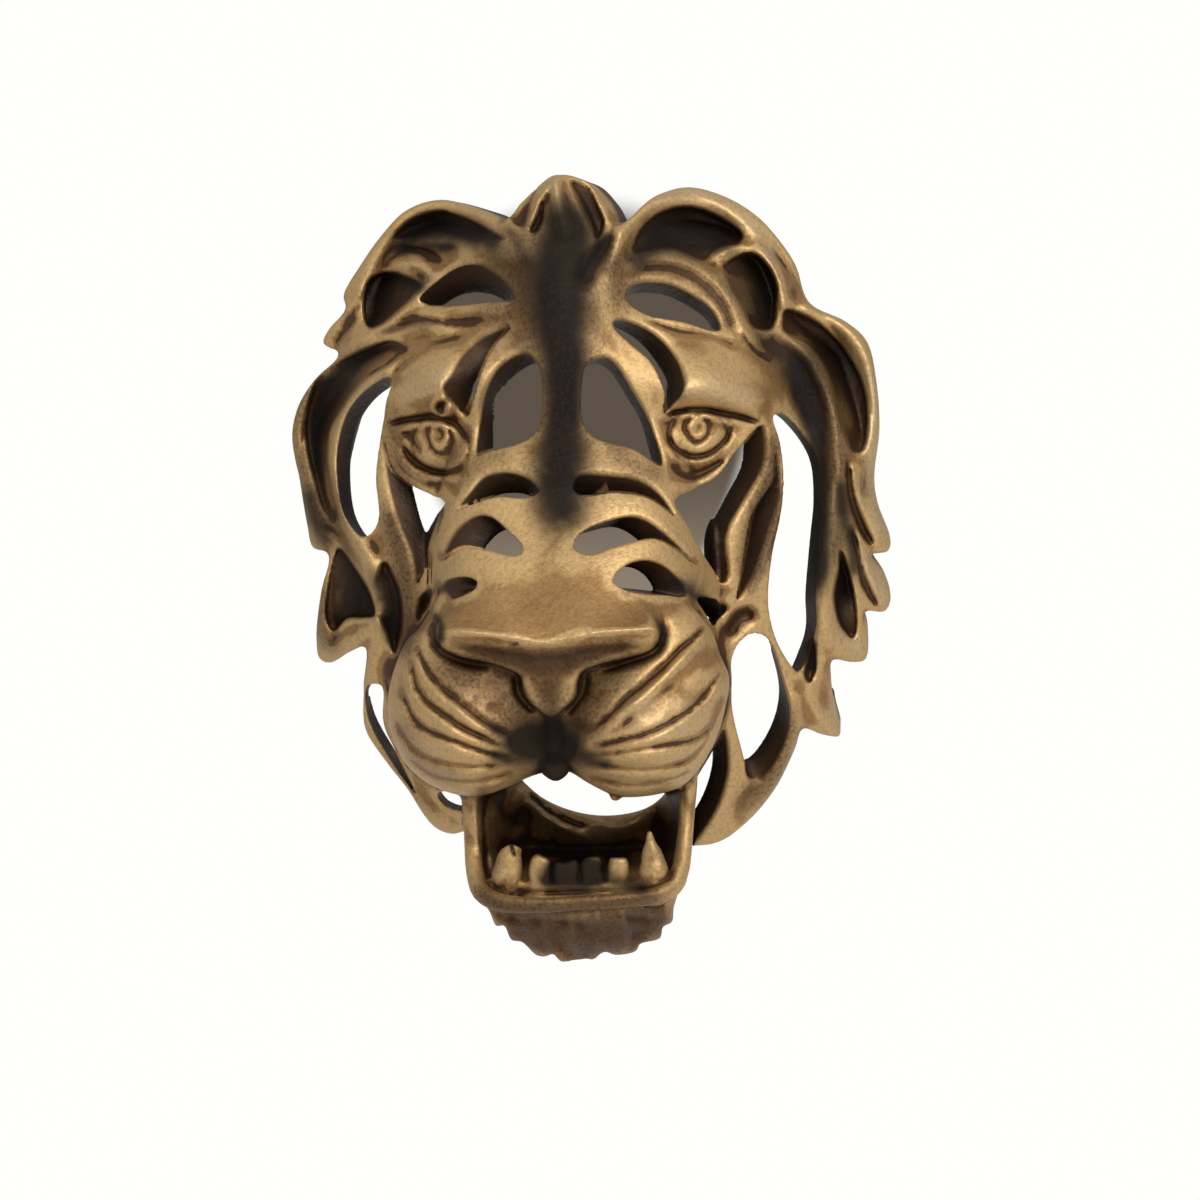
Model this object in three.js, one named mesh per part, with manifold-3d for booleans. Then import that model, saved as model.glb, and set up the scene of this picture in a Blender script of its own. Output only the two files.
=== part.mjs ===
// A hollow, pierced lion head that hangs on a wall: one casting.
// Frame: millimetres, X to the viewer's right, Y into the wall, Z up. The wall is the plane Y = 0 and the
// mask lies on its -Y side. The origin is the middle of the flat hanging pad behind the crown.
import * as THREE from "three";
import { mergeVertices } from "three/addons/utils/BufferGeometryUtils.js";
import Module from "manifold-3d";

const wasm = await Module();
wasm.setup();

// Driving dimensions, in millimetres
const MASK_HEIGHT = 238; // crown tip to beard tip
const FACE_WALL = 9; // thickness of the pierced face and mane
const MUZZLE_WALL = 7; // thickness of the muzzle, which is a hollow box
const JAW_WALL = 8; // thickness of the lower jaw's curved wall
const POCKET_DEPTH = 9; // depth of the closed hollows between the locks of the mane
const CROWN_RIM = 14.5; // width of the flat rim that rests on the wall above the hollow
const SIDE_RIM = 12; // width of the same rim at each side
const PAD_WIDTH = 34; // hanging pad behind the crown
const PAD_HEIGHT = 20;
const PAD_THICKNESS = 8;
const NAIL_HOLE = 5; // diameter of the pad's two nail holes
const NAIL_SPACING = 20; // between the middles of the nail holes
const CUT_MARGIN = 8; // how far a cutter runs past the surface that it cuts

// The carving is drawn as it is seen from a viewpoint in front of the wall, a little to the right and above.
// Its unit is a share of the mask's height, so every outline below follows MASK_HEIGHT.
const DRAWN_HEIGHT = 237.7;
const UNIT = MASK_HEIGHT / DRAWN_HEIGHT;
const VIEW_AZIMUTH = THREE.MathUtils.degToRad(7.5);
const VIEW_ELEVATION = THREE.MathUtils.degToRad(9);
const VIEW_ROLL = THREE.MathUtils.degToRad(3);
const VIEW_DISTANCE = 650;
const DRAWING_OFFSET = 1; // the drawing's middle lies this far right of the face's middle plane
const HANG_HEIGHT = 118; // height of the hanging pad above the drawing's middle

const [sinA, cosA] = [Math.sin(VIEW_AZIMUTH), Math.cos(VIEW_AZIMUTH)];
const [sinE, cosE] = [Math.sin(VIEW_ELEVATION), Math.cos(VIEW_ELEVATION)];
const viewForward = new THREE.Vector3(-sinA * cosE, cosA * cosE, -sinE);
const levelRight = new THREE.Vector3(cosA, sinA, 0);
const levelUp = new THREE.Vector3(-sinA * sinE, cosA * sinE, cosE);
const viewRight = levelRight
  .clone()
  .multiplyScalar(Math.cos(VIEW_ROLL))
  .addScaledVector(levelUp, -Math.sin(VIEW_ROLL));
const viewUp = levelRight
  .clone()
  .multiplyScalar(Math.sin(VIEW_ROLL))
  .addScaledVector(levelUp, Math.cos(VIEW_ROLL));
const viewpoint = new THREE.Vector3(DRAWING_OFFSET, 0, 0).addScaledVector(viewForward, -VIEW_DISTANCE);

// The point of the drawn sight line (u, v) that stands `depth` in front of the wall, in drawing units.
function sighted(u, v, depth) {
  const ray = viewForward
    .clone()
    .addScaledVector(viewRight, u / VIEW_DISTANCE)
    .addScaledVector(viewUp, v / VIEW_DISTANCE);
  const reach = (-depth - viewpoint.y) / ray.y;
  return viewpoint.clone().addScaledVector(ray, reach);
}

// From drawing units to the part's own frame in millimetres
const placed = (point) => point.clone().sub(new THREE.Vector3(0, 0, HANG_HEIGHT)).multiplyScalar(UNIT);
const drawn = (u, v, depth) => placed(sighted(u, v, depth));

// Relief of the head: a dome that falls to the wall, a crown bump and the snout's ridge
const HEAD_HALF_WIDTH = 97;
const HEAD_HALF_HEIGHT = 122;
const HEAD_MIDDLE = 15;
const EDGE_DEPTH = 14;
const DOME_RISE = 50;
const SNOUT_TOP = 62; // height at which the snout leaves the forehead
const SNOUT_END = 8; // height of the nose's upper edge
const CROWN_RISE = 8; // the bump that carries the crown, which grows by a slope above the snout's top
const CROWN_SLOPE = 0.29;
const CROWN_SPREAD = 28;
const SNOUT_ROOT = { depth: 66, halfWidth: 24 }; // the ridge where it leaves the forehead
const SNOUT_GAIN = { depth: 46, halfWidth: 17 }; // and what it gains by the nose
const BROWS = [
  [34, 74],
  [-52, 74],
];
const BROW_RISE = 12;
const BROW_SPREAD = { across: 20, up: 12 };

const bell = (distance, spread) => Math.exp(-((distance / spread) ** 2));
const ease = (low, high, value) => THREE.MathUtils.smoothstep(value, low, high);
const outward = (x, z) => Math.hypot(x / HEAD_HALF_WIDTH, (z - HEAD_MIDDLE) / HEAD_HALF_HEIGHT);

function headDepth(x, z) {
  const dome = Math.max(EDGE_DEPTH - 2, EDGE_DEPTH + DOME_RISE * (1 - outward(x, z) ** 2.2));
  const crest = CROWN_RISE + CROWN_SLOPE * Math.max(0, z - SNOUT_TOP);
  const crown = crest * bell(x, CROWN_SPREAD) * ease(15, 60, z);
  const along = THREE.MathUtils.clamp((SNOUT_TOP - z) / (SNOUT_TOP - SNOUT_END), 0, 1.15);
  const ridge = SNOUT_ROOT.depth + SNOUT_GAIN.depth * along;
  const halfWidth = SNOUT_ROOT.halfWidth + SNOUT_GAIN.halfWidth * along;
  const section = Math.max(0, 1 - Math.abs(x / halfWidth) ** 3) ** 0.5;
  const below = ease(-12, 2, z); // the snout stops at the nose, and the muzzle takes over
  return Math.max(dome + crown, dome + (ridge - dome) * section * below * ease(0, 0.1, along));
}

// Where the sight line meets the head's relief, found by stepping the depth a few times.
function headPoint(u, v) {
  const brow = BROWS.reduce((sum, [browU, browV]) => {
    return sum + BROW_RISE * bell(u - browU, BROW_SPREAD.across) * bell(v - browV, BROW_SPREAD.up);
  }, 0);
  let depth = 40;
  for (let step = 0; step < 8; step += 1) {
    const p = sighted(u, v, depth);
    depth = 0.5 * depth + 0.5 * (headDepth(p.x, p.z) + brow);
  }
  return sighted(u, v, depth);
}

// Holes run towards a line behind the wall, so their sides flare a little as on the real casting.
const FLARE_CENTRE = 25;
function inward(point) {
  return new THREE.Vector3(-point.x, FLARE_CENTRE - point.y, -0.5 * (point.z - HEAD_MIDDLE)).normalize();
}

// A closed mesh from a list of points and faces, turned so that it faces out.
function solidFrom(points, faces) {
  const geometry = new THREE.BufferGeometry();
  geometry.setAttribute("position", new THREE.Float32BufferAttribute(points.flatMap((p) => p.toArray()), 3));
  geometry.setIndex(faces.flat());
  const merged = mergeVertices(geometry, 1e-4);
  const volume = faces.reduce((sum, [a, b, c]) => sum + points[a].dot(points[b].clone().cross(points[c])), 0);
  const triVerts = new Uint32Array(merged.index.array);
  if (volume < 0) {
    for (let i = 0; i < triVerts.length; i += 3) {
      [triVerts[i + 1], triVerts[i + 2]] = [triVerts[i + 2], triVerts[i + 1]];
    }
  }
  const vertProperties = merged.attributes.position.array;
  return new wasm.Manifold(new wasm.Mesh({ numProp: 3, vertProperties, triVerts }));
}

// A solid between matching rings of points. Both end rings are filled by the flat ring's triangulation.
function ringed(rings, flat) {
  const count = flat.length;
  const caps = THREE.ShapeUtils.triangulateShape(flat.map(([u, v]) => new THREE.Vector2(u, v)), []);
  const faces = caps.map(([a, b, c]) => [a, c, b]);
  const last = count * (rings.length - 1);
  faces.push(...caps.map(([a, b, c]) => [a + last, b + last, c + last]));
  for (let ring = 0; ring + 1 < rings.length; ring += 1) {
    for (let i = 0; i < count; i += 1) {
      const a = ring * count + i;
      const b = ring * count + ((i + 1) % count);
      faces.push([a, b, a + count], [b, b + count, a + count]);
    }
  }
  return solidFrom(rings.flat(), faces);
}

const counterClockwise = (flat) =>
  THREE.ShapeUtils.area(flat.map(([u, v]) => new THREE.Vector2(u, v))) > 0 ? flat : [...flat].reverse();

// Outlines of the drawing, as [u, v] in drawing units
const HEAD_OUTLINE = [
  [-15, 142], [-20, 139], [-27, 132.5], [-32, 127], [-40, 130], [-53, 133.5], [-64.5, 130], [-73.5, 121],
  [-80, 112], [-86, 101.5], [-85, 97], [-91, 90], [-92.8, 85.5], [-88, 82], [-95, 73.5], [-101, 64],
  [-103, 55], [-101, 42], [-98.5, 25], [-96.5, 17], [-91.5, 15], [-93, 4], [-95.3, -12], [-94.5, -20],
  [-91, -21.7], [-84, -17.8], [-78.5, -16], [-79.5, -30], [-79, -43], [-72, -53.5], [-64, -63.5],
  [-56, -76], [-50, -78.7], [-44.5, -77.8], [36.7, -82.3], [47, -76.5], [58, -64], [65, -50], [67.5, -43.5],
  [74, -45.5], [80, -46], [78.3, -38], [77, -28], [77.5, -20.5], [84, -21.3], [88.5, -20.5], [89.5, -12],
  [88.5, -4.5], [95, -4.3], [97, 0], [95, 7], [90.5, 14.5], [96, 15.8], [97, 19], [93, 30], [91.5, 40],
  [93.2, 57], [92, 74], [89, 86], [82, 92.5], [69.5, 99], [65, 111.5], [59.5, 120], [51, 129],
  [40, 135.2], [29, 137.7], [18, 134.7], [6.8, 125.6], [2, 132.5], [-5, 139.7],
];

// The hollow's plan: an oval about the head's middle that leaves a flat rim inside the outline, so that the
// rim keeps its width when the dome's size changes. Below the cheeks it runs out under the jaw.
const outlineEdge = HEAD_OUTLINE.map(([u, v]) => headPoint(u, v));
const edgeHeights = outlineEdge.map((point) => point.z);
const edgeSides = outlineEdge.map((point) => point.x);
const HOLLOW_HALF_HEIGHT = Math.max(...edgeHeights) - HEAD_MIDDLE - CROWN_RIM / UNIT;
const HOLLOW_HALF_WIDTH = 0.5 * (Math.max(...edgeSides) - Math.min(...edgeSides)) - SIDE_RIM / UNIT;
const hollowShare = (x, z) => Math.hypot(x / HOLLOW_HALF_WIDTH, (z - HEAD_MIDDLE) / HOLLOW_HALF_HEIGHT);

// The back of the wall: FACE_WALL behind the front, but down on the wall plane along the outer rim.
const RIM_STARTS = 0.93;
const RIM_FULL = 1.02;
function backPoint(front) {
  const way = inward(front);
  const inner = front.clone().addScaledVector(way, FACE_WALL / UNIT);
  const rim = front.clone().addScaledVector(way, -front.y / way.y);
  return inner.lerp(rim, ease(RIM_STARTS, RIM_FULL, hollowShare(front.x, front.z)));
}

const THROAT = [
  [-50, -17], [12, -17], [33, -34], [29, -60], [27, -92], [-38, -92], [-44, -62], [-58, -46], [-60, -30],
];
const THROUGH_HOLES = [
  [[-60, 100], [-54, 106.4], [-45.4, 111.4], [-37.4, 111], [-31.4, 106.7], [-28.7, 100.7], [-40, 98.2]],
  [[-30.7, 91.5], [-40.7, 88], [-48.7, 81], [-52.7, 72], [-50, 65], [-46.4, 62.3], [-40, 76.7], [-36, 84.7]],
  [[-25.3, 82.8], [-21, 78], [-20, 66.7], [-21.3, 57.3], [-26, 53.3], [-42.2, 49], [-41, 62], [-33.3, 79.3]],
  [[-70, 74.4], [-78, 70], [-83.8, 62.7], [-87, 51.4], [-84.7, 27.4], [-77.4, 22], [-75.4, 41.4], [-72.5, 66]],
  [[-70.4, 44], [-64.7, 38.7], [-56.7, 34.7], [-53.4, 32], [-56.4, 20.7], [-61.9, 5.4], [-70, 30]],
  [[-56, 4], [-60.7, 1.4], [-61.4, -7.3], [-58, -3.3]],
  [[-49, 29.3], [-44, 36.7], [-38.7, 43], [-30, 43.9], [-23.3, 40.7], [-20.7, 36.7], [-34.7, 36]],
  [[-54, 14], [-52.3, 20.7], [-44, 28.7], [-34, 24.7], [-28, 20.7], [-27, 15.7], [-38.7, 17.3]],
  [[-55, 3.3], [-52.7, 7.3], [-46, 8.1], [-41.7, 6], [-45.3, 1.7], [-51.3, -0.3]],
  [[-77.4, -28.6], [-73, -28.6], [-72.4, -41.3], [-61.4, -64.6], [-70, -52.6], [-77.4, -38]],
  [[-54, -64.5], [-45.7, -65.3], [-45.7, -70], [-51.4, -68.6]],
  [[9, 102.7], [11.7, 105.7], [21.7, 106], [29.7, 102.7], [37.7, 96.7], [40, 90.3], [28.3, 92.8]],
  [[4.7, 91.7], [15, 91], [23, 85], [28.3, 76.7], [27.7, 69.3], [23, 62.5], [22, 70], [17.7, 79.3]],
  [[0.7, 81], [5, 79.3], [11.3, 70], [17.3, 59.3], [21, 45.2], [-1.3, 54.3], [-5.3, 59.3], [-4.3, 78.3]],
  [[60, 61.3], [66.7, 54], [70.5, 34.7], [68.7, 16.7], [68.3, -13.3], [64.7, -22], [56.3, 0], [62, 41.3]],
  [[27.3, 34], [40, 41.3], [46.7, 50], [55, 58.3], [55.7, 46.7], [42, 22], [41.7, 5.7], [29.3, 24.7]],
  [[59.3, 48.7], [58, 40], [51.7, 29.3], [46.3, 0], [53.3, 10.7], [59, 27.3], [61.3, 40.7]],
  [[32.3, 0.7], [43.5, -2], [37.7, -9], [34, -3.3]],
  [[-8.8, 38], [-6.7, 42], [6, 42.5], [13.3, 41], [20, 36.3], [25, 28.7], [16, 35.3], [4.7, 36.8]],
  [[-8, 18], [-5.3, 22.7], [4.7, 27], [13.3, 27.9], [24.7, 20.7], [32.3, 12.3], [19.3, 22], [7.3, 19.3]],
  [[5, 6.7], [10, 12], [17.3, 13.3], [24.7, 10], [30, 2], [20, 2], [8.7, 3.7]],
  [[51, -12], [57.3, -16], [61, -28.7], [63, -40], [60.7, -49.3], [50, -60.3], [43.3, -24.7], [46.7, -16]],
  [[41.3, -42.7], [43.7, -55.3], [41.3, -66.7], [29.3, -83.7], [29.7, -75.3], [36.7, -50.7]],
];
const POCKETS = [
  [[-69, 120.6], [-64, 126.4], [-54.7, 129.3], [-44.7, 127.4], [-31.7, 120.2], [-46.7, 122.4], [-54, 124.7]],
  [[-70, 109.4], [-61.4, 106.7], [-59, 105], [-65.4, 99.4], [-76.8, 90.4], [-79, 98.7], [-77, 106.7]],
  [
    [-63.5, 83.7], [-78, 84], [-88, 78.7], [-95, 72], [-98, 60], [-95.4, 40], [-92.4, 30], [-87, 27.5],
    [-88.7, 37.4], [-90, 56], [-86, 64], [-80.8, 72], [-72, 77.4],
  ],
  [[-87, 17], [-80.7, 10], [-76, 2], [-74.7, -5.3], [-84, -6.6], [-88.7, -10.3], [-90.7, 4]],
  [[-70.4, 10.7], [-65.7, 2.7], [-65.4, -8], [-68.4, -18], [-73.7, -1.3]],
  [[11.7, 115.7], [12, 121], [18.3, 128.3], [27.7, 131], [37.7, 129.3], [47.3, 121.3], [33.7, 113]],
  [[40.3, 111.3], [53, 114.8], [59, 106], [58.7, 98], [56.7, 90], [51, 90.7], [47, 97.3]],
  [
    [62, 96.7], [69.3, 95], [77.3, 89], [84, 80], [88, 70.7], [89.3, 57], [86.7, 48.3], [82.7, 50],
    [79.7, 57.3], [74, 76.7], [64, 88.7],
  ],
  [[80.3, 16.7], [82.7, 11.3], [85, 0.7], [85.5, -10], [84, -13.2], [77.5, 0.7], [79, 10.7]],
  [[69, -8], [72.3, -16], [72, -24], [69.3, -27.8], [66.3, -23.5]],
  [[42, -10.7], [46, -3.3], [50.5, -1.5], [48.7, -8]],
];

// The head's outer form: a grid of sight lines on the relief, closed by the flat plane of the wall
const GRID_STEP = 10.5;
const GRID = { left: -108, right: 102, low: -90, high: 148 };
function headForm() {
  const columns = Math.round((GRID.right - GRID.left) / GRID_STEP);
  const rows = Math.round((GRID.high - GRID.low) / GRID_STEP);
  const front = [];
  for (let row = 0; row <= rows; row += 1) {
    for (let column = 0; column <= columns; column += 1) {
      front.push(placed(headPoint(GRID.left + column * GRID_STEP, GRID.low + row * GRID_STEP)));
    }
  }
  const points = [...front, ...front.map((point) => new THREE.Vector3(point.x, 0, point.z))];
  const width = columns + 1;
  const faces = [];
  for (let row = 0; row < rows; row += 1) {
    for (let column = 0; column < columns; column += 1) {
      const a = row * width + column;
      const [b, c, d] = [a + 1, a + width + 1, a + width];
      const back = front.length;
      faces.push([a, b, c], [a, c, d], [a + back, c + back, b + back], [a + back, d + back, c + back]);
    }
  }
  const border = [];
  for (let column = 0; column < columns; column += 1) border.push(column);
  for (let row = 0; row < rows; row += 1) border.push(row * width + columns);
  for (let column = columns; column > 0; column -= 1) border.push(rows * width + column);
  for (let row = rows; row > 0; row -= 1) border.push(row * width);
  border.forEach((a, i) => {
    const b = border[(i + 1) % border.length];
    faces.push([a, a + front.length, b], [b, a + front.length, b + front.length]);
  });
  return solidFrom(points, faces);
}

// The hollow behind the face, as rings about the head's middle: each point lies FACE_WALL under the relief,
// and the last ring opens through the wall plane inside the rim.
const HOLLOW_SHARES = [0.07, 0.18, 0.31, 0.43, 0.57, 0.7, 0.84, 0.93];
const HOLLOW_POINTS = 30;
function hollow() {
  const wall = FACE_WALL / UNIT;
  const slopeStep = 2;
  const turns = Array.from({ length: HOLLOW_POINTS }, (_, i) => (i / HOLLOW_POINTS) * 2 * Math.PI);
  const rings = HOLLOW_SHARES.map((share) =>
    turns.map((turn) => {
      const x = HOLLOW_HALF_WIDTH * share * Math.cos(turn);
      const z = HEAD_MIDDLE + HOLLOW_HALF_HEIGHT * share * Math.sin(turn);
      const slopeX = (headDepth(x + slopeStep, z) - headDepth(x - slopeStep, z)) / (2 * slopeStep);
      const slopeZ = (headDepth(x, z + slopeStep) - headDepth(x, z - slopeStep)) / (2 * slopeStep);
      const facing = new THREE.Vector3(-slopeX, -1, -slopeZ).normalize();
      return placed(new THREE.Vector3(x, -headDepth(x, z), z).addScaledVector(facing, -wall));
    }),
  );
  const mouth = turns.map((turn) => {
    const x = HOLLOW_HALF_WIDTH * Math.cos(turn);
    const z = HEAD_MIDDLE + HOLLOW_HALF_HEIGHT * Math.sin(turn);
    return placed(new THREE.Vector3(x, CUT_MARGIN, z));
  });
  return ringed([...rings, mouth], turns.map((turn) => [Math.cos(turn), Math.sin(turn)]));
}

// Straight back from the drawn outline, through the wall plane
const SILHOUETTE_REACH = 150;
function silhouette(outline) {
  const flat = counterClockwise(outline);
  const edge = flat.map(([u, v]) => placed(headPoint(u, v)));
  const near = edge.map((p) => new THREE.Vector3(p.x, -SILHOUETTE_REACH * UNIT, p.z));
  const far = edge.map((p) => new THREE.Vector3(p.x, CUT_MARGIN, p.z));
  return ringed([near, far], flat);
}

// A cutter that follows an outline through the head's wall, or down to a pocket's floor
function cutter(outline, depth) {
  const flat = counterClockwise(outline);
  const fronts = flat.map(([u, v]) => headPoint(u, v));
  const near = fronts.map((p) => placed(p.clone().addScaledVector(inward(p), -1.6 * CUT_MARGIN)));
  const far = fronts.map((p) => {
    const way = inward(p);
    if (depth) return placed(p.clone().addScaledVector(way, depth / UNIT));
    return placed(backPoint(p).addScaledVector(way, CUT_MARGIN));
  });
  return ringed([near, far], flat);
}

// The muzzle: a hollow box with a rounded front, drawn as rings about its middle
const MUZZLE_OUTLINE = [
  [-50, 4], [-60, -9], [-64.3, -13.3], [-67.8, -20.7], [-70.5, -31], [-70.3, -42], [-65.7, -53.3],
  [-58, -60.7], [-48, -64.8], [-38.7, -65], [-30.7, -62.3], [-22.7, -58.7], [-18, -59.7], [-13.3, -60], [-10.5, -57.2],
  [-4, -61], [3.7, -64.8], [7.7, -65.7], [18, -65], [27.3, -62], [33.3, -56], [38.7, -46.7], [42, -35],
  [43.1, -26], [40, -18], [37, -9.7], [28, 2],
];
const MUZZLE_MIDDLE = [-14, -28];
const MUZZLE_ROUNDING = 18;
const MUZZLE_BACK = 46; // the muzzle's sides run back to this depth, inside the cheeks' wall
const MUZZLE_FRONT = 98; // depth of the muzzle's front between and below its two lip pads
const LIP_PADS = { rise: 15, apart: 25, middle: -21, across: 19, up: 21 };
function muzzleDepth(x, z) {
  const sideways = bell(Math.abs(x) - LIP_PADS.apart, LIP_PADS.across);
  return MUZZLE_FRONT + LIP_PADS.rise * sideways * bell(z - LIP_PADS.middle, LIP_PADS.up);
}

function muzzlePoint(u, v, drop) {
  let depth = 100;
  for (let step = 0; step < 5; step += 1) {
    const p = sighted(u, v, depth);
    depth = muzzleDepth(p.x, p.z) - drop;
  }
  return sighted(u, v, depth);
}

function muzzleBody(inset, front, back) {
  const flat = counterClockwise(MUZZLE_OUTLINE);
  const [middleU, middleV] = MUZZLE_MIDDLE;
  const shares = [0.2, 0.45, 0.66, 0.82, 0.93, 1];
  const rings = shares.map((share) => {
    const turned = Math.max(0, (share - 0.45) / 0.55);
    const drop = front + MUZZLE_ROUNDING * (1 - Math.sqrt(1 - turned ** 2));
    return flat.map(([u, v]) => {
      const [du, dv] = [u - middleU, v - middleV];
      const size = share * (1 - inset / Math.hypot(du, dv));
      return placed(muzzlePoint(middleU + size * du, middleV + size * dv, drop));
    });
  });
  const rear = flat.map(([u, v]) => {
    const [du, dv] = [u - middleU, v - middleV];
    const size = 1 - inset / Math.hypot(du, dv);
    return drawn(middleU + size * du, middleV + size * dv, back);
  });
  return ringed([...rings, rear], flat);
}

const muzzleForm = () => muzzleBody(0, 0, MUZZLE_BACK);
const muzzleHollow = () => muzzleBody(MUZZLE_WALL / UNIT, MUZZLE_WALL / UNIT, MUZZLE_BACK - 2 * CUT_MARGIN);

// The passage that joins the muzzle's hollow to the hollow behind the bridge of the nose
const PASSAGE_OUTLINE = [
  [-48, -14], [8, -14], [17, 0], [23, 16], [-44, 16], [-50, 0],
];
const PASSAGE_FRONT = 101;
const PASSAGE_SLOPE = 0.6;
const PASSAGE_BACK = 30;
function passage() {
  const flat = counterClockwise(PASSAGE_OUTLINE);
  const lowest = PASSAGE_OUTLINE[0][1];
  const front = flat.map(([u, v]) => drawn(u, v, PASSAGE_FRONT - PASSAGE_SLOPE * (v - lowest)));
  const back = flat.map(([u, v]) => drawn(u, v, PASSAGE_BACK));
  return ringed([front, back], flat);
}

// The nose: a block whose flat front leans back towards the lip
const NOSE_OUTLINE = [
  [-53, -3], [-54, -10.5], [-53.5, -15], [-47, -18.5], [-30, -22.5], [-25, -25], [-25.5, -31], [-16, -39],
  [-7.5, -32], [-7.5, -24.5], [0, -21.5], [14, -18], [19, -11], [18.5, -3],
];
const NOSE_FRONT = 113; // depth of the nose's front edge
const NOSE_EDGE = -11; // height of that edge on the drawing
const NOSE_LEAN = 0.22; // how much the nose falls back for each unit above or below its edge
const NOSE_ROOT = 90;
function nose() {
  const flat = counterClockwise(NOSE_OUTLINE);
  const front = flat.map(([u, v]) => drawn(u, v, NOSE_FRONT - NOSE_LEAN * Math.abs(v - NOSE_EDGE)));
  const root = flat.map(([u, v]) => drawn(u, v, NOSE_ROOT));
  return ringed([front, root], flat);
}

// A tapered bar with a round section through points of the part's frame, closed at both ends
function bar(points, radii, sides = 5) {
  const curve = new THREE.CatmullRomCurve3(points);
  const steps = 2 * (points.length - 1);
  const frames = curve.computeFrenetFrames(steps);
  const rings = [];
  for (let step = 0; step <= steps; step += 1) {
    const share = step / steps;
    const place = share * (radii.length - 1);
    const before = Math.min(Math.floor(place), radii.length - 2);
    const radius = THREE.MathUtils.lerp(radii[before], radii[before + 1], place - before) * UNIT;
    const centre = curve.getPoint(share);
    rings.push(
      Array.from({ length: sides }, (_, side) => {
        const turn = (side / sides) * 2 * Math.PI;
        return centre
          .clone()
          .addScaledVector(frames.normals[step], radius * Math.cos(turn))
          .addScaledVector(frames.binormals[step], radius * Math.sin(turn));
      }),
    );
  }
  const round = Array.from({ length: sides }, (_, side) => {
    const turn = (side / sides) * 2 * Math.PI;
    return [Math.cos(turn), Math.sin(turn)];
  });
  return ringed(rings, round);
}

// Ridges of hair that lie along the wall, as [u, v] points and a radius
const LOCKS = [
  [[[-27, 118], [-42, 117], [-53, 108.5], [-63, 99], [-74, 91], [-84, 84.5]], 5],
  [[[-66, 80], [-76, 75], [-85, 66], [-88.5, 50], [-86, 33], [-80, 18], [-73, 3]], 4],
  [[[-33, 124], [-44, 131], [-56, 131.5], [-66, 127], [-76, 114], [-82, 100]], 5],
  [[[4, 116], [12, 128], [24, 134], [37, 133], [48, 126], [57, 113], [62, 100]], 5],
  [[[62, 99], [74, 94], [84, 86], [90, 74], [92, 56], [90, 42]], 5],
  [[[66, 84], [71, 74], [78, 58], [80, 40], [78, 20], [74, 0]], 4.5],
  [[[-74, 0], [-75, -20], [-76, -40], [-68, -55], [-58, -68]], 4],
  [[[72, -30], [66, -46], [58, -62], [46, -74]], 4],
];
const LOCK_LIFT = 1.5;
function lock([path, radius]) {
  const points = path.map(([u, v]) => {
    const front = headPoint(u, v);
    return placed(front.addScaledVector(inward(front), -LOCK_LIFT));
  });
  return bar(points, [0.35 * radius, radius, radius, radius, 0.35 * radius]);
}

// A closed three.js geometry, moved to its place, as a solid
function solidOf(geometry) {
  const flat = geometry.index ? geometry.toNonIndexed() : geometry.clone();
  flat.deleteAttribute("normal");
  flat.deleteAttribute("uv");
  const merged = mergeVertices(flat, 1e-4);
  return new wasm.Manifold(
    new wasm.Mesh({
      numProp: 3,
      vertProperties: merged.attributes.position.array,
      triVerts: new Uint32Array(merged.index.array),
    }),
  );
}

// The eyes: a ball in its socket under two lids, with a brow above
const EYES = [
  {
    ball: [32, 56.5],
    lids: [[20, 55], [26, 61.5], [36, 63], [46, 60], [53, 64]],
    bag: [[22, 52], [32, 47.5], [44, 49]],
  },
  {
    ball: [-53.5, 55],
    lids: [[-42, 53], [-47, 60], [-57, 61], [-67, 56]],
    bag: [[-44, 49], [-53, 46], [-65, 51]],
  },
];
const BALL_RADIUS = 8;
const LID_RADIUS = 2.6;
function eye({ ball, lids, bag }) {
  const front = headPoint(...ball);
  const centre = placed(front.addScaledVector(inward(front), 0.35 * BALL_RADIUS));
  const sphere = new THREE.SphereGeometry(BALL_RADIUS * UNIT, 8, 6).translate(centre.x, centre.y, centre.z);
  const taper = [0.5 * LID_RADIUS, LID_RADIUS, LID_RADIUS, 0.5 * LID_RADIUS];
  const onFace = ([u, v]) => placed(headPoint(u, v));
  return [solidOf(sphere), bar(lids.map(onFace), taper), bar(bag.map(onFace), taper)];
}

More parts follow.
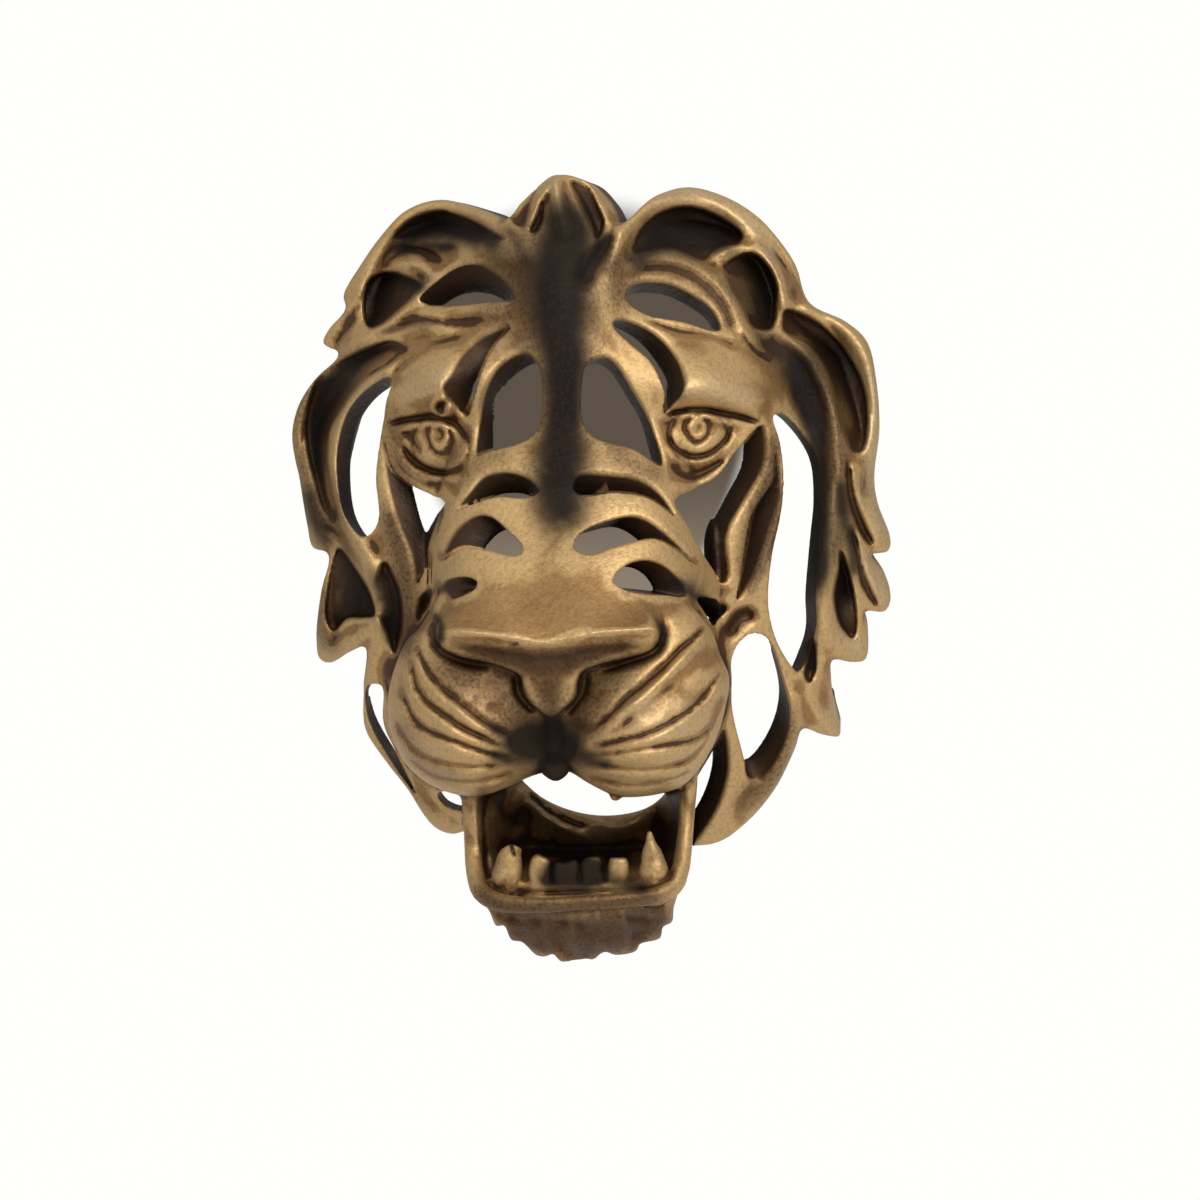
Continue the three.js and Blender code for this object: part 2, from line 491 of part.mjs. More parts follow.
// The lower jaw: a wall that runs in a U from the cheeks round the chin
const JAW_BACK = { depth: 12, top: -64, bottom: -82 };
const JAW_PLAN = [
  [38, 12], [36, 34], [33, 56], [25, 74], [12, 83], [0, 85],
  [-12, 83], [-25, 74], [-33, 56], [-36, 34], [-38, 12],
];
const JAW_FRONT = { depth: 85, top: -77, bottom: -92 };
const CHIN_BULGE = 4;
function jaw() {
  const wall = JAW_WALL / UNIT;
  const rings = JAW_PLAN.map(([x, depth], i) => {
    const share = ease(JAW_BACK.depth, JAW_FRONT.depth, depth);
    const top = THREE.MathUtils.lerp(JAW_BACK.top, JAW_FRONT.top, share);
    const bottom = THREE.MathUtils.lerp(JAW_BACK.bottom, JAW_FRONT.bottom, share);
    const before = JAW_PLAN[Math.max(i - 1, 0)];
    const after = JAW_PLAN[Math.min(i + 1, JAW_PLAN.length - 1)];
    const along = new THREE.Vector2(after[0] - before[0], after[1] - before[1]).normalize();
    const [sideX, sideDepth] = [-along.y, along.x];
    const corner = (inset, z) => {
      return placed(new THREE.Vector3(x + sideX * inset, -(depth + sideDepth * inset), z));
    };
    const middle = 0.5 * (top + bottom);
    return [
      corner(0, top),
      corner(-CHIN_BULGE, middle),
      corner(0, bottom),
      corner(wall, bottom),
      corner(wall, middle),
      corner(wall, top),
    ];
  });
  return ringed(rings, [[0, 2], [-1, 1], [0, 0], [1, 0], [1, 1], [1, 2]]);
}

// The floor of the mouth, inside the jaw's curve
const FLOOR = { top: -77, bottom: -83, back: 34 };
function mouthFloor() {
  const inside = JAW_PLAN.filter(([, depth]) => depth >= FLOOR.back);
  const flat = counterClockwise(inside.map(([x, depth]) => [x, -depth]));
  const level = (z) => flat.map(([x, y]) => placed(new THREE.Vector3(0.93 * x, 0.96 * y, z)));
  return ringed([level(FLOOR.bottom), level(FLOOR.top)], flat);
}

// Bars of the mouth, as drawn points with their depths: two corner bands, the back strap and the rolled lip
const MOUTH_BARS = [
  { path: [[-42, -60, 66], [-41.5, -76, 66], [-39, -92, 70]], radii: [5, 4.2, 5] },
  { path: [[26, -56, 66], [25.5, -76, 66], [24, -92, 70]], radii: [6, 5, 5.5] },
  { path: [[-48, -74, 20], [-28, -77, 26], [-6, -78, 28], [16, -77, 26], [36, -76, 20]], radii: [6, 6, 6] },
  {
    path: [[-39, -88, 76], [-36, -97, 84], [-18, -101.5, 89], [0, -100.5, 89], [22, -97, 84], [25, -88, 76]],
    radii: [3.4, 3.8, 3.4],
  },
];
const mouthBar = ({ path, radii }) => bar(path.map(([u, v, depth]) => drawn(u, v, depth)), radii);

// Lower teeth: two canines and five small teeth, as [foot u, tip u, tip v, radius]
const TEETH = [
  [-30.5, -29, -80.5, 4.4],
  [16, 16, -77.5, 5.4],
  [-21.5, -21, -85.5, 3],
  [-14.5, -14, -85, 3],
  [-8.5, -8.5, -85, 3],
  [-2, -2.5, -85, 3],
  [6, 6, -85.5, 3],
];
const TOOTH_FOOT = -105;
const TOOTH_DEPTH = 80;
function tooth([footU, tipU, tipV, radius]) {
  const middleV = 0.5 * (TOOTH_FOOT + tipV);
  const points = [[footU, TOOTH_FOOT], [0.5 * (footU + tipU), middleV], [tipU, tipV]];
  return bar(points.map(([u, v]) => drawn(u, v, TOOTH_DEPTH)), [radius, radius, 0.3 * radius]);
}

// The beard: short locks under the chin, as drawn tips
const BEARD_TIPS = [
  [-37, -105], [-32, -110.5], [-24, -116], [-14, -120.5], [-3.5, -121.6], [7, -118.5], [17, -114], [25, -106],
];
const BEARD_ROOT = -100;
const BEARD_DEPTH = 80;
function beardLock([u, v]) {
  const root = drawn(0.82 * u - 1, BEARD_ROOT, BEARD_DEPTH);
  const bend = drawn(0.9 * u, 0.45 * BEARD_ROOT + 0.55 * v, BEARD_DEPTH - 1);
  return bar([root, bend, drawn(u, v, BEARD_DEPTH - 6)], [6.5, 5.5, 1]);
}

// The hanging pad: flat on the wall plane, with two nail holes beside its middle
function hangingPad() {
  const middle = -0.5 * PAD_THICKNESS;
  const drill = PAD_THICKNESS + 2 * CUT_MARGIN;
  const plate = new THREE.BoxGeometry(PAD_WIDTH, PAD_THICKNESS, PAD_HEIGHT).translate(0, middle, 0);
  const holes = [-0.5, 0.5].map((side) => {
    const hole = new THREE.CylinderGeometry(0.5 * NAIL_HOLE, 0.5 * NAIL_HOLE, drill, 16);
    return hole.translate(side * NAIL_SPACING, middle, 0);
  });
  return holes.reduce((pad, hole) => pad.subtract(solidOf(hole)), solidOf(plate));
}

const joined = (solids) => solids.reduce((whole, solid) => whole.add(solid));

// The mask: the pierced head first, then what stands on it
const cutters = [
  cutter(THROAT, 0),
  ...THROUGH_HOLES.map((outline) => cutter(outline, 0)),
  ...POCKETS.map((outline) => cutter(outline, POCKET_DEPTH)),
];
const head = cutters.reduce(
  (solid, cut) => solid.subtract(cut),
  joined([headForm().subtract(hollow()), ...LOCKS.map(lock)]).intersect(silhouette(HEAD_OUTLINE)),
);
const hollowed = joined([head, muzzleForm()]).subtract(joined([muzzleHollow(), passage()]));
const mask = joined([
  hollowed,
  nose(),
  ...EYES.flatMap(eye),
  jaw(),
  mouthFloor(),
  ...MOUTH_BARS.map(mouthBar),
  ...TEETH.map(tooth),
  ...BEARD_TIPS.map(beardLock),
  hangingPad(),
]);

const mesh = mask.getMesh();
const geometry = new THREE.BufferGeometry();
const corners = new Float32Array(mesh.numVert * 3);
for (let i = 0; i < mesh.numVert; i += 1) {
  corners.set(mesh.vertProperties.subarray(i * mesh.numProp, i * mesh.numProp + 3), 3 * i);
}
geometry.setAttribute("position", new THREE.BufferAttribute(corners, 3));
geometry.setIndex(new THREE.BufferAttribute(mesh.triVerts, 1));
geometry.computeVertexNormals();

const bronzePaint = new THREE.MeshStandardMaterial({ color: 0x96784f, roughness: 0.45, metalness: 0.6 });
const lionMask = new THREE.Mesh(geometry, bronzePaint);
lionMask.name = "lion_mask";

const group = new THREE.Group();
group.add(lionMask);
export default group;
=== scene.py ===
# %% [markdown]
# # A pierced lion head for the wall
#
# The real mask is one hollow casting with a bronze paint. Its mane and face are cut through by long
# openings, so every strand has two faces and rounded rims, and every strand grows out of the next one. Such
# a form could be sculpted by hand or joined from many tubes. Here it is worked out as a field: a box of
# numbers that says how far each point of space is from the casting, from which the surface is drawn at the
# end. A field joins and pierces without cracks, and a fillet or a rounded rim is one line of arithmetic.

# %% The frame
import bpy
import numpy as np
import openvdb
from math import radians
from mathutils import Matrix, Vector


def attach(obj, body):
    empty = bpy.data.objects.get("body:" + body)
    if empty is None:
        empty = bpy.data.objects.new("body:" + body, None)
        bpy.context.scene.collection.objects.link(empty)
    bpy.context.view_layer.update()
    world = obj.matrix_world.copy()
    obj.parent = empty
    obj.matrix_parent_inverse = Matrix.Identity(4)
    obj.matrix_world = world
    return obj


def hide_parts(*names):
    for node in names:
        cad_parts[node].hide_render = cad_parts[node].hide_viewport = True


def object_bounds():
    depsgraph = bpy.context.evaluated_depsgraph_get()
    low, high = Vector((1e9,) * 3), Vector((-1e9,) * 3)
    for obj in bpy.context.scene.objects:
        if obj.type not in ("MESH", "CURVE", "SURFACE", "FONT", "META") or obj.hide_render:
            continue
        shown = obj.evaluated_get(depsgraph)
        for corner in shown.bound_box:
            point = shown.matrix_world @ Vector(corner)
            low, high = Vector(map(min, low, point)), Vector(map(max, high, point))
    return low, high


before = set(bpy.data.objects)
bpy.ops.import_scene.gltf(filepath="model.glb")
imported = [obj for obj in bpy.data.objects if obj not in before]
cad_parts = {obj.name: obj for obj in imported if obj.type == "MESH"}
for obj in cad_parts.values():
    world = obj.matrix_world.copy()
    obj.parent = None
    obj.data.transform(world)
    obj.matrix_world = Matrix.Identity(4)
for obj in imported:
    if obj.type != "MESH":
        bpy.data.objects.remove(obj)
cad_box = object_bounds()
DRAWN_HEIGHT = 237.7
unit = (cad_box[1][2] - cad_box[0][2]) / DRAWN_HEIGHT
print("one drawing unit is", round(1000 * unit, 4), "mm")

# %% [markdown]
# ## The viewpoint and its sight lines
#
# The carving is drawn as it is seen from the camera, a little to the right of the mask and above its
# middle. A point of the drawing is a sight line, and a depth in front of the wall picks one point on it. So
# the drawing and the camera share one set of numbers, and what is drawn lands where it should in the
# picture.

# %% The viewpoint
VIEW_AZIMUTH = radians(7.5)
VIEW_ELEVATION = radians(9)
VIEW_ROLL = radians(3)
VIEW_DISTANCE = 650.0
DRAWING_OFFSET = 1.0
HANG_HEIGHT = 118.0

sin_a, cos_a = np.sin(VIEW_AZIMUTH), np.cos(VIEW_AZIMUTH)
sin_e, cos_e = np.sin(VIEW_ELEVATION), np.cos(VIEW_ELEVATION)
view_forward = np.array([-sin_a * cos_e, cos_a * cos_e, -sin_e])
level_right = np.array([cos_a, sin_a, 0.0])
level_up = np.array([-sin_a * sin_e, cos_a * sin_e, cos_e])
view_right = level_right * np.cos(VIEW_ROLL) - level_up * np.sin(VIEW_ROLL)
view_up = level_right * np.sin(VIEW_ROLL) + level_up * np.cos(VIEW_ROLL)
viewpoint = np.array([DRAWING_OFFSET, 0.0, 0.0]) - VIEW_DISTANCE * view_forward


def sighted(u, v, depth):
    """The x and z of the point on sight line (u, v) at a depth: the viewpoint plus the stretched ray."""
    across, upward = u / VIEW_DISTANCE, v / VIEW_DISTANCE
    ray = [view_forward[i] + view_right[i] * across + view_up[i] * upward for i in range(3)]
    reach = (-depth - viewpoint[1]) / ray[1]
    return viewpoint[0] + reach * ray[0], viewpoint[2] + reach * ray[2]


def projected(x, y, z):
    """The drawing's u and v of a point: how far right and up of the view's axis, over how far ahead."""
    offset = [x - viewpoint[0], y - viewpoint[1], z - viewpoint[2]]
    ahead = sum(offset[i] * view_forward[i] for i in range(3))
    u = VIEW_DISTANCE * sum(offset[i] * view_right[i] for i in range(3)) / ahead
    v = VIEW_DISTANCE * sum(offset[i] * view_up[i] for i in range(3)) / ahead
    return u, v


# %% [markdown]
# ## Outlines and ridges on the drawing
#
# An opening is a closed line through a few points, and a lock of hair or a crease is an open one. A
# Catmull-Rom curve runs through the points and bends evenly between them. What the field needs from such a
# line is its distance from every place on the drawing, with a plus inside a closed one.

# %% Curves and distances
STEP = 0.7
FAR = 30.0
low_u, high_u, low_v, high_v = -106.0, 101.0, -126.0, 146.0
line_u = np.arange(low_u, high_u, STEP, dtype=np.float32)
line_v = np.arange(low_v, high_v, STEP, dtype=np.float32)
grid_u, grid_v = np.meshgrid(line_u, line_v, indexing="ij")
print("the drawing's grid is", grid_u.shape)


def curve_through(points, closed, parts=6):
    """A centripetal Catmull-Rom curve: a stretch mixes its four points by the root of their spacing."""
    p = np.asarray(points, float)
    if closed:
        a, b, c, d = np.roll(p, 1, 0), p, np.roll(p, -1, 0), np.roll(p, -2, 0)
    else:
        ends = np.vstack([2 * p[0] - p[1], p, 2 * p[-1] - p[-2]])
        a, b, c, d = ends[:-3], ends[1:-2], ends[2:-1], ends[3:]
    pairs = ((a, b), (b, c), (c, d))
    gap = [np.sqrt(np.linalg.norm(near - far, axis=1))[None, :, None] + 1e-6 for near, far in pairs]
    one, two, three = gap[0], gap[0] + gap[1], gap[0] + gap[1] + gap[2]
    at = one + gap[1] * np.linspace(0, 1, parts, endpoint=False)[:, None, None]
    ab = (one - at) / one * a + at / one * b
    bc = (two - at) / (two - one) * b + (at - one) / (two - one) * c
    cd = (three - at) / (three - two) * c + (at - two) / (three - two) * d
    abc = (two - at) / two * ab + at / two * bc
    bcd = (three - at) / (three - one) * bc + (at - one) / (three - one) * cd
    made = (two - at) / (two - one) * abc + (at - one) / (two - one) * bcd
    made = made.transpose(1, 0, 2).reshape(-1, p.shape[1])
    return made if closed else np.vstack([made, p[-1]])


def window(points, margin):
    """The part of the drawing's grid within a margin of some points."""
    low = np.floor((points.min(0) - margin - (low_u, low_v)) / STEP).astype(int).clip(0)
    high = np.ceil((points.max(0) + margin - (low_u, low_v)) / STEP).astype(int) + 1
    return slice(low[0], min(high[0], len(line_u))), slice(low[1], min(high[1], len(line_v)))


def edge_distance(start, end, u, v):
    """How far each place is from a straight edge, and the share of the edge that is nearest to it."""
    run = end - start
    share = ((u - start[0]) * run[0] + (v - start[1]) * run[1]) / max(float(run @ run), 1e-9)
    share = share.clip(0, 1)
    return np.hypot(u - start[0] - share * run[0], v - start[1] - share * run[1]), share


def inside_distance(points, margin=16.0):
    """Distance from a closed curve on the whole drawing: plus inside, minus outside, -FAR past the margin.

    A place is inside where a level line from it crosses the curve an odd number of times.
    """
    curve = curve_through(points, True)
    place = window(curve, margin)
    u, v = grid_u[place], grid_v[place]
    near = np.full(u.shape, FAR, np.float32)
    odd = np.zeros(u.shape, bool)
    for start, end in zip(curve, np.roll(curve, -1, 0)):
        near = np.minimum(near, edge_distance(start, end, u, v)[0])
        crosses = (start[1] > v) != (end[1] > v)
        rise = end[1] - start[1]
        odd ^= crosses & (u < start[0] + (v - start[1]) * (end[0] - start[0]) / (rise if rise else 1e-9))
    whole = np.full(grid_u.shape, -FAR, np.float32)
    whole[place] = np.where(odd, near, -near)
    return whole


def stroke(points, widths, height):
    """A raised or sunk line: height times a bell of the distance over the width along the curve."""
    curve = curve_through(points, False)
    reach = 3.0 * max(widths)
    place = window(curve, reach)
    u, v = grid_u[place], grid_v[place]
    best = np.zeros(u.shape, np.float32)
    share_at = np.linspace(0, 1, len(curve))
    width_at = np.interp(share_at, np.linspace(0, 1, len(widths)), widths)
    fade_at = np.minimum(1, np.minimum(share_at, 1 - share_at) / 0.12 + 0.05)
    for i in range(len(curve) - 1):
        distance, share = edge_distance(curve[i], curve[i + 1], u, v)
        width = width_at[i] + share * (width_at[i + 1] - width_at[i])
        fade = fade_at[i] + share * (fade_at[i + 1] - fade_at[i])
        best = np.maximum(best, fade * np.exp(-((distance / width) ** 2)))
    whole = np.zeros(grid_u.shape, np.float32)
    whole[place] = height * best
    return whole


def evened(heights, width):
    """Heights smoothed over a width: each wave of the picture is weakened by a bell of its length."""
    wave_u = np.fft.fftfreq(len(line_u), STEP)[:, None]
    wave_v = np.fft.fftfreq(len(line_v), STEP)[None, :]
    kept = np.exp(-2 * (np.pi * width) ** 2 * (wave_u**2 + wave_v**2))
    return np.fft.ifft2(np.fft.fft2(heights) * kept).real.astype(np.float32)


def uneven(width, seed):
    """Seeded random heights, smoothed over a width and brought to a spread of one."""
    heights = evened(np.random.default_rng(seed).normal(size=grid_u.shape), width)
    return heights / heights.std()


def ease(low, high, value):
    """Smoothstep: nought below low, one above high, and an even bend between."""
    share = ((value - low) / (high - low)).clip(0, 1)
    return share * share * (3 - 2 * share)


def bell(distance, spread):
    """A bell curve of the distance over its spread."""
    return np.exp(-((distance / spread) ** 2))


# %% [markdown]
# ## The head's relief
#
# Before it is pierced, the head is one swelling form: a dome that falls to the wall, a bump that carries
# the crown and forehead, and the long ridge of the snout. Each is a formula of the place across and up the
# face. Where a sight line meets that form is found by stepping its depth a few times.

# %% The head's form
HEAD_HALF_WIDTH, HEAD_HALF_HEIGHT, HEAD_MIDDLE = 97.0, 122.0, 15.0
EDGE_DEPTH, DOME_RISE = 14.0, 50.0
CROWN_RISE, CROWN_SLOPE, CROWN_SPREAD = 8.0, 0.29, 28.0
SNOUT_TOP, SNOUT_END = 62.0, 8.0
SNOUT_DEPTH, SNOUT_GROWS = 66.0, 46.0
SNOUT_HALF_WIDTH, SNOUT_WIDENS, SNOUT_SQUARENESS = 33.0, 20.0, 3.6
BROWS = ((34, 74), (-52, 74))
BROW_RISE, BROW_WIDE, BROW_TALL = 12.0, 20.0, 12.0


def outward(x, z):
    """How far out on the head a place lies: nought in the middle, one at the oval rim."""
    return np.hypot(x / HEAD_HALF_WIDTH, (z - HEAD_MIDDLE) / HEAD_HALF_HEIGHT)


def smooth_greater(first, second, width):
    """The greater of two heights, rounded where they cross: their mean plus half a softened difference."""
    return 0.5 * (first + second + np.sqrt((first - second) ** 2 + width * width) - 0.5 * width)


def dome_depth(x, z):
    """The dome that falls to the wall, plus the bump of the crown and forehead."""
    dome = np.maximum(EDGE_DEPTH - 2, EDGE_DEPTH + DOME_RISE * (1 - outward(x, z) ** 2.2))
    crown = CROWN_RISE + CROWN_SLOPE * np.maximum(0, z - SNOUT_TOP)
    return dome + crown * bell(x, CROWN_SPREAD) * ease(15, 60, z)


def head_depth(x, z):
    """The dome, or the snout's ridge where that stands further out."""
    dome = dome_depth(x, z)
    along = ((SNOUT_TOP - z) / (SNOUT_TOP - SNOUT_END)).clip(-0.4, 1.0)
    half_width = SNOUT_HALF_WIDTH + SNOUT_WIDENS * np.minimum(along, 0.6)
    section = (1 - np.abs(x / half_width) ** SNOUT_SQUARENESS).clip(0)
    raised = SNOUT_DEPTH + SNOUT_GROWS * along - dome
    ridge = dome + raised * section * ease(-10, 6, z) * ease(-0.4, 0.2, along)
    return smooth_greater(dome, ridge, 3.0)


def meet(surface, start):
    """The depth at which each sight line meets a form given as a function of x and z."""
    depth = np.full(grid_u.shape, start, np.float32)
    for _ in range(9):
        depth = 0.5 * depth + 0.5 * surface(*sighted(grid_u, grid_v, depth))
    return depth.astype(np.float32)


brow_swell = sum(BROW_RISE * bell(grid_u - u, BROW_WIDE) * bell(grid_v - v, BROW_TALL) for u, v in BROWS)
smooth_head = meet(lambda x, z: head_depth(x, z) + brow_swell, 40.0)
smooth_dome = meet(lambda x, z: dome_depth(x, z) + brow_swell, 40.0)
print("the head stands", round(float(smooth_head.max()), 1), "units off the wall")

# %% [markdown]
# ## The openings
#
# Twenty-three openings go right through, and fourteen hollows between the locks of the mane stop at a
# floor. Both are closed curves, listed from the crown down, first those on the picture's left and then
# those on its right. An opening could be a straight tunnel, but the real ones lean as they go back, and
# show one of their sides. So each opening has a lean across and up, and each hollow a side towards which
# its floor falls, and by how much.

# %% The outlines of the head and throat
HEAD_OUTLINE = (
    (-15, 142), (-20, 139), (-27, 132.5), (-32, 127), (-40, 130), (-53, 133.5), (-64.5, 130), (-73.5, 121),
    (-80, 112), (-86, 101.5), (-85, 97), (-91, 90), (-92.8, 85.5), (-88, 82), (-95, 73.5), (-101, 64),
    (-103, 55), (-101, 42), (-98.5, 25), (-96.5, 17), (-91.5, 15), (-93, 4), (-95.3, -12), (-94.5, -20),
    (-91, -21.7), (-84, -17.8), (-78.5, -16), (-79.5, -30), (-79, -43), (-72, -53.5), (-64, -63.5),
    (-56, -76), (-50, -78.7), (-44.5, -77.8), (36.7, -82.3), (47, -76.5), (58, -64), (65, -50),
    (67.5, -43.5), (74, -45.5), (80, -46), (78.3, -38), (77, -28), (77.5, -20.5), (84, -21.3),
    (88.5, -20.5), (89.5, -12), (88.5, -4.5), (95, -4.3), (97, 0), (95, 7), (90.5, 14.5), (96, 15.8),
    (97, 19), (93, 30), (91.5, 40), (93.2, 57), (92, 74), (89, 86), (82, 92.5), (69.5, 99), (65, 111.5),
    (59.5, 120), (51, 129), (40, 135.2), (29, 137.7), (18, 134.7), (6.8, 125.6), (2, 132.5), (-5, 139.7),
)
THROAT = ((-50, -17), (12, -17), (33, -34), (29, -60), (27, -92), (-38, -92), (-44, -62), (-58, -46),
          (-60, -30))

# %% The openings and how they lean
OPENINGS = (
    (((-60, 100), (-54, 106.4), (-45.4, 111.4), (-37.4, 111), (-31.4, 106.7), (-28.7, 100.7), (-37.4, 99.3),
      (-53.4, 98.2)), 1, -9.5),
    (((-30.7, 91.5), (-40.7, 88), (-48.7, 81), (-52.7, 72), (-50, 65), (-46.4, 62.3), (-43.4, 67.4),
      (-40, 76.7), (-36, 84.7)), 13, -6),
    (((-25.3, 82.8), (-21, 78), (-20, 66.7), (-21.3, 57.3), (-26, 53.3), (-38, 50), (-42.2, 49), (-41, 62),
      (-38.7, 71.3), (-33.3, 79.3)), 8, -6),
    (((-70, 74.4), (-78, 70), (-84, 62.7), (-87.3, 51.4), (-87.6, 41.4), (-85, 28), (-79, 21), (-74.5, 26),
      (-75.2, 41.4), (-73.6, 55), (-71.5, 66)), 4.5, -1.5),
    (((-73.6, 54), (-70.4, 44), (-64.7, 38.7), (-56.7, 34.7), (-53.4, 32), (-56.4, 20.7), (-61.9, 5.4),
      (-64.4, 16), (-70, 30), (-73.4, 44)), 13, -3),
    (((-56, 4), (-60.7, 1.4), (-61.4, -7.3), (-58, -3.3)), 8, -4),
    (((-48, 31.3), (-44, 37.2), (-38.7, 42.6), (-30, 43.6), (-23.3, 40.7), (-20.7, 36.7), (-25.3, 34.8),
      (-34.7, 35), (-42, 33)), 4, -10),
    (((-54, 14), (-52.3, 20.7), (-44, 28.7), (-38, 28.4), (-31, 22.6), (-26.6, 17.5), (-28, 15.3),
      (-38.7, 17.3), (-46, 18.2), (-51, 15.5)), 14, -7),
    (((-55, 3.3), (-52.7, 7.3), (-46, 8.3), (-41.7, 6), (-45.3, 1.7), (-51.3, -0.3)), 12, -5),
    (((-77.4, -28.6), (-73, -28.6), (-72.4, -41.3), (-68, -51.3), (-61.4, -64.6), (-70, -52.6),
      (-77.7, -38)), 2, 2),
    (((-54, -64.5), (-45.7, -65.3), (-45.7, -70), (-51.4, -68.6)), 1, 2),
    (((9, 102.7), (11.7, 105.7), (21.7, 106), (29.7, 102.7), (37.7, 96.7), (40, 90.3), (28.3, 92.8),
      (15, 95.7), (9.3, 100)), -2, -5),
    (((4.7, 91.7), (6.3, 93.5), (15, 91), (23, 85), (28.3, 76.7), (27.7, 69.3), (23, 62.5), (22, 70),
      (17.7, 79.3), (10.3, 85.7)), -9, -2),
    (((0.7, 81), (5, 79.3), (11.3, 70), (17.3, 59.3), (21, 45.2), (11.3, 50.7), (-1.3, 54.3), (-5.3, 59.3),
      (-5.8, 70), (-4.3, 78.3)), -3.8, -3.5),
    (((58.5, 61.3), (62, 62), (68, 57), (73.5, 48), (75, 37), (73.5, 20), (72, 2), (72, -10), (66.5, -24),
      (63.5, -21), (58.7, -12), (56.3, 0), (57.7, 14.7), (60.5, 28), (61.6, 40), (60.5, 52.7)), -4.5, 0),
    (((25, 33), (32.7, 37.5), (40, 41.3), (46.7, 50), (55, 58.3), (55.7, 46.7), (49.3, 34), (43.5, 22),
      (43.5, 9), (41.7, 5.7), (36, 12.7), (29.3, 24.7)), -11, -1),
    (((59.3, 48.7), (58, 40), (51.7, 29.3), (49.3, 16.7), (46.3, 0), (53.3, 10.7), (59, 27.3),
      (61.3, 40.7)), -13, -2),
    (((32.3, 0.7), (43.5, -2), (39.3, -6.7), (37.7, -9), (34, -3.3)), -8, -5),
    (((-8.8, 38), (-6.7, 42), (6, 42.5), (13.3, 41), (20, 36.3), (25, 28.7), (16, 34.5), (4.7, 36.5),
      (-6, 35.3)), -3, -10),
    (((-8, 18), (-5.3, 22.7), (4.7, 27), (13.3, 27.9), (24.7, 20.7), (32.3, 12.3), (19.3, 20.5),
      (7.3, 18.6), (-4, 15.5)), -9, -5),
    (((5, 6.7), (10, 12), (17.3, 13.3), (24.7, 10), (30, 2), (20, 2), (8.7, 3.7)), -10, -3),
    (((51, -12), (56, -13.5), (61, -26), (63.2, -38), (60.7, -49.3), (53.3, -60), (50, -60.3),
      (48.3, -53.3), (45, -40), (43.5, -27), (45.5, -17)), -4.5, 9),
    (((41.3, -42.7), (43.7, -55.3), (41.3, -66.7), (35.3, -77.3), (29.3, -83.7), (29.7, -75.3), (32.3, -60),
      (36.7, -50.7)), -8, 4),
)

# %% The hollows and where they fall
HOLLOWS = (
    (((-69, 120.6), (-64, 126.4), (-54.7, 129.5), (-44.7, 127.6), (-36, 123), (-31.7, 120.2), (-40, 119),
      (-46.7, 120.4), (-54, 121.5), (-61.4, 120.4)), 0, 1, 10),
    (((-67, 117.2), (-60, 118), (-54, 115.4), (-52.6, 112.6), (-57, 112)), 0.5, 1, 5),
    (((-70, 109.6), (-61.4, 106.9), (-59, 104.5), (-65.4, 97), (-73.4, 91), (-77.4, 90.4), (-79, 98.7),
      (-77, 106.7)), -1, 0.2, 11),
    (((-63.5, 83.7), (-69.5, 86.7), (-78, 84), (-88, 78.7), (-95, 72), (-98, 60), (-97.7, 50), (-95.4, 40),
      (-92.4, 30), (-89, 25.2), (-86.5, 27.5), (-88.2, 37.4), (-90, 48), (-89, 56), (-85, 64), (-79, 72),
      (-70, 78)), -1, 0.45, 10),
    (((-87, 17.3), (-80.7, 10), (-76, 2), (-74.7, -5.3), (-79, -6.3), (-84, -6.6), (-88.7, -10.3),
      (-91.2, -6.6), (-90.7, 4), (-88.4, 14.7)), 0, 0, 11),
    (((-72, 13), (-67.5, 6), (-65.7, -2), (-65.8, -9), (-68.4, -18), (-71.6, -11), (-75.5, -3), (-76, 4)),
     1, 0, 9),
    (((11, 115.7), (11.7, 121), (18.3, 128.3), (27.7, 131.2), (37.7, 129), (47.5, 122), (46.5, 118.6),
      (40, 116.5), (33.7, 112.5), (24, 116)), 0, 1, 12),
    (((40.3, 111), (45.7, 114.8), (51, 115.6), (55.5, 112.5), (59, 106), (59, 98), (57, 90), (51, 90.7),
      (47, 97.3), (43.5, 103.5)), 1, 0.25, 11),
    (((61.5, 96.9), (69.3, 94.5), (77.3, 88.5), (84, 80), (88, 70.7), (89.3, 57), (87.5, 49.3), (84, 49.3),
      (80, 57.3), (77.7, 66.7), (74.5, 76.7), (70, 83), (61, 90)), 1, 0.6, 12),
    (((80.3, 16.7), (82.7, 11.3), (85, 0.7), (85.5, -10), (84, -13), (80, -8.7), (77.5, 0.7), (79, 10.7)),
     0, 0, 9),
    (((71, -10), (72.2, -16), (72, -24), (69.8, -27.8), (67.5, -24), (69.3, -17)), 0, 0, 4),
    (((-20.5, 138.5), (-25, 135), (-30, 129), (-29, 125.5), (-25, 124), (-22.5, 131)), -1, 0.3, 9),
    (((-19.2, 133), (-20.8, 129), (-23.5, 123), (-21.5, 122), (-18.8, 127)), 0, 0, 4),
    (((-10.5, 140), (-4.7, 138.5), (-0.5, 131), (1.5, 125), (-1, 120), (-4.5, 126), (-8, 133)), 1, 0.3, 9),
)

# %% Their distances on the drawing
silhouette_map = inside_distance(HEAD_OUTLINE, 60.0)
opening_maps = [inside_distance(line) for line, _, _ in OPENINGS]
throat_map = inside_distance(THROAT)
opening_map = np.maximum.reduce(opening_maps)
print(len(OPENINGS), "openings and", len(HOLLOWS), "hollows")


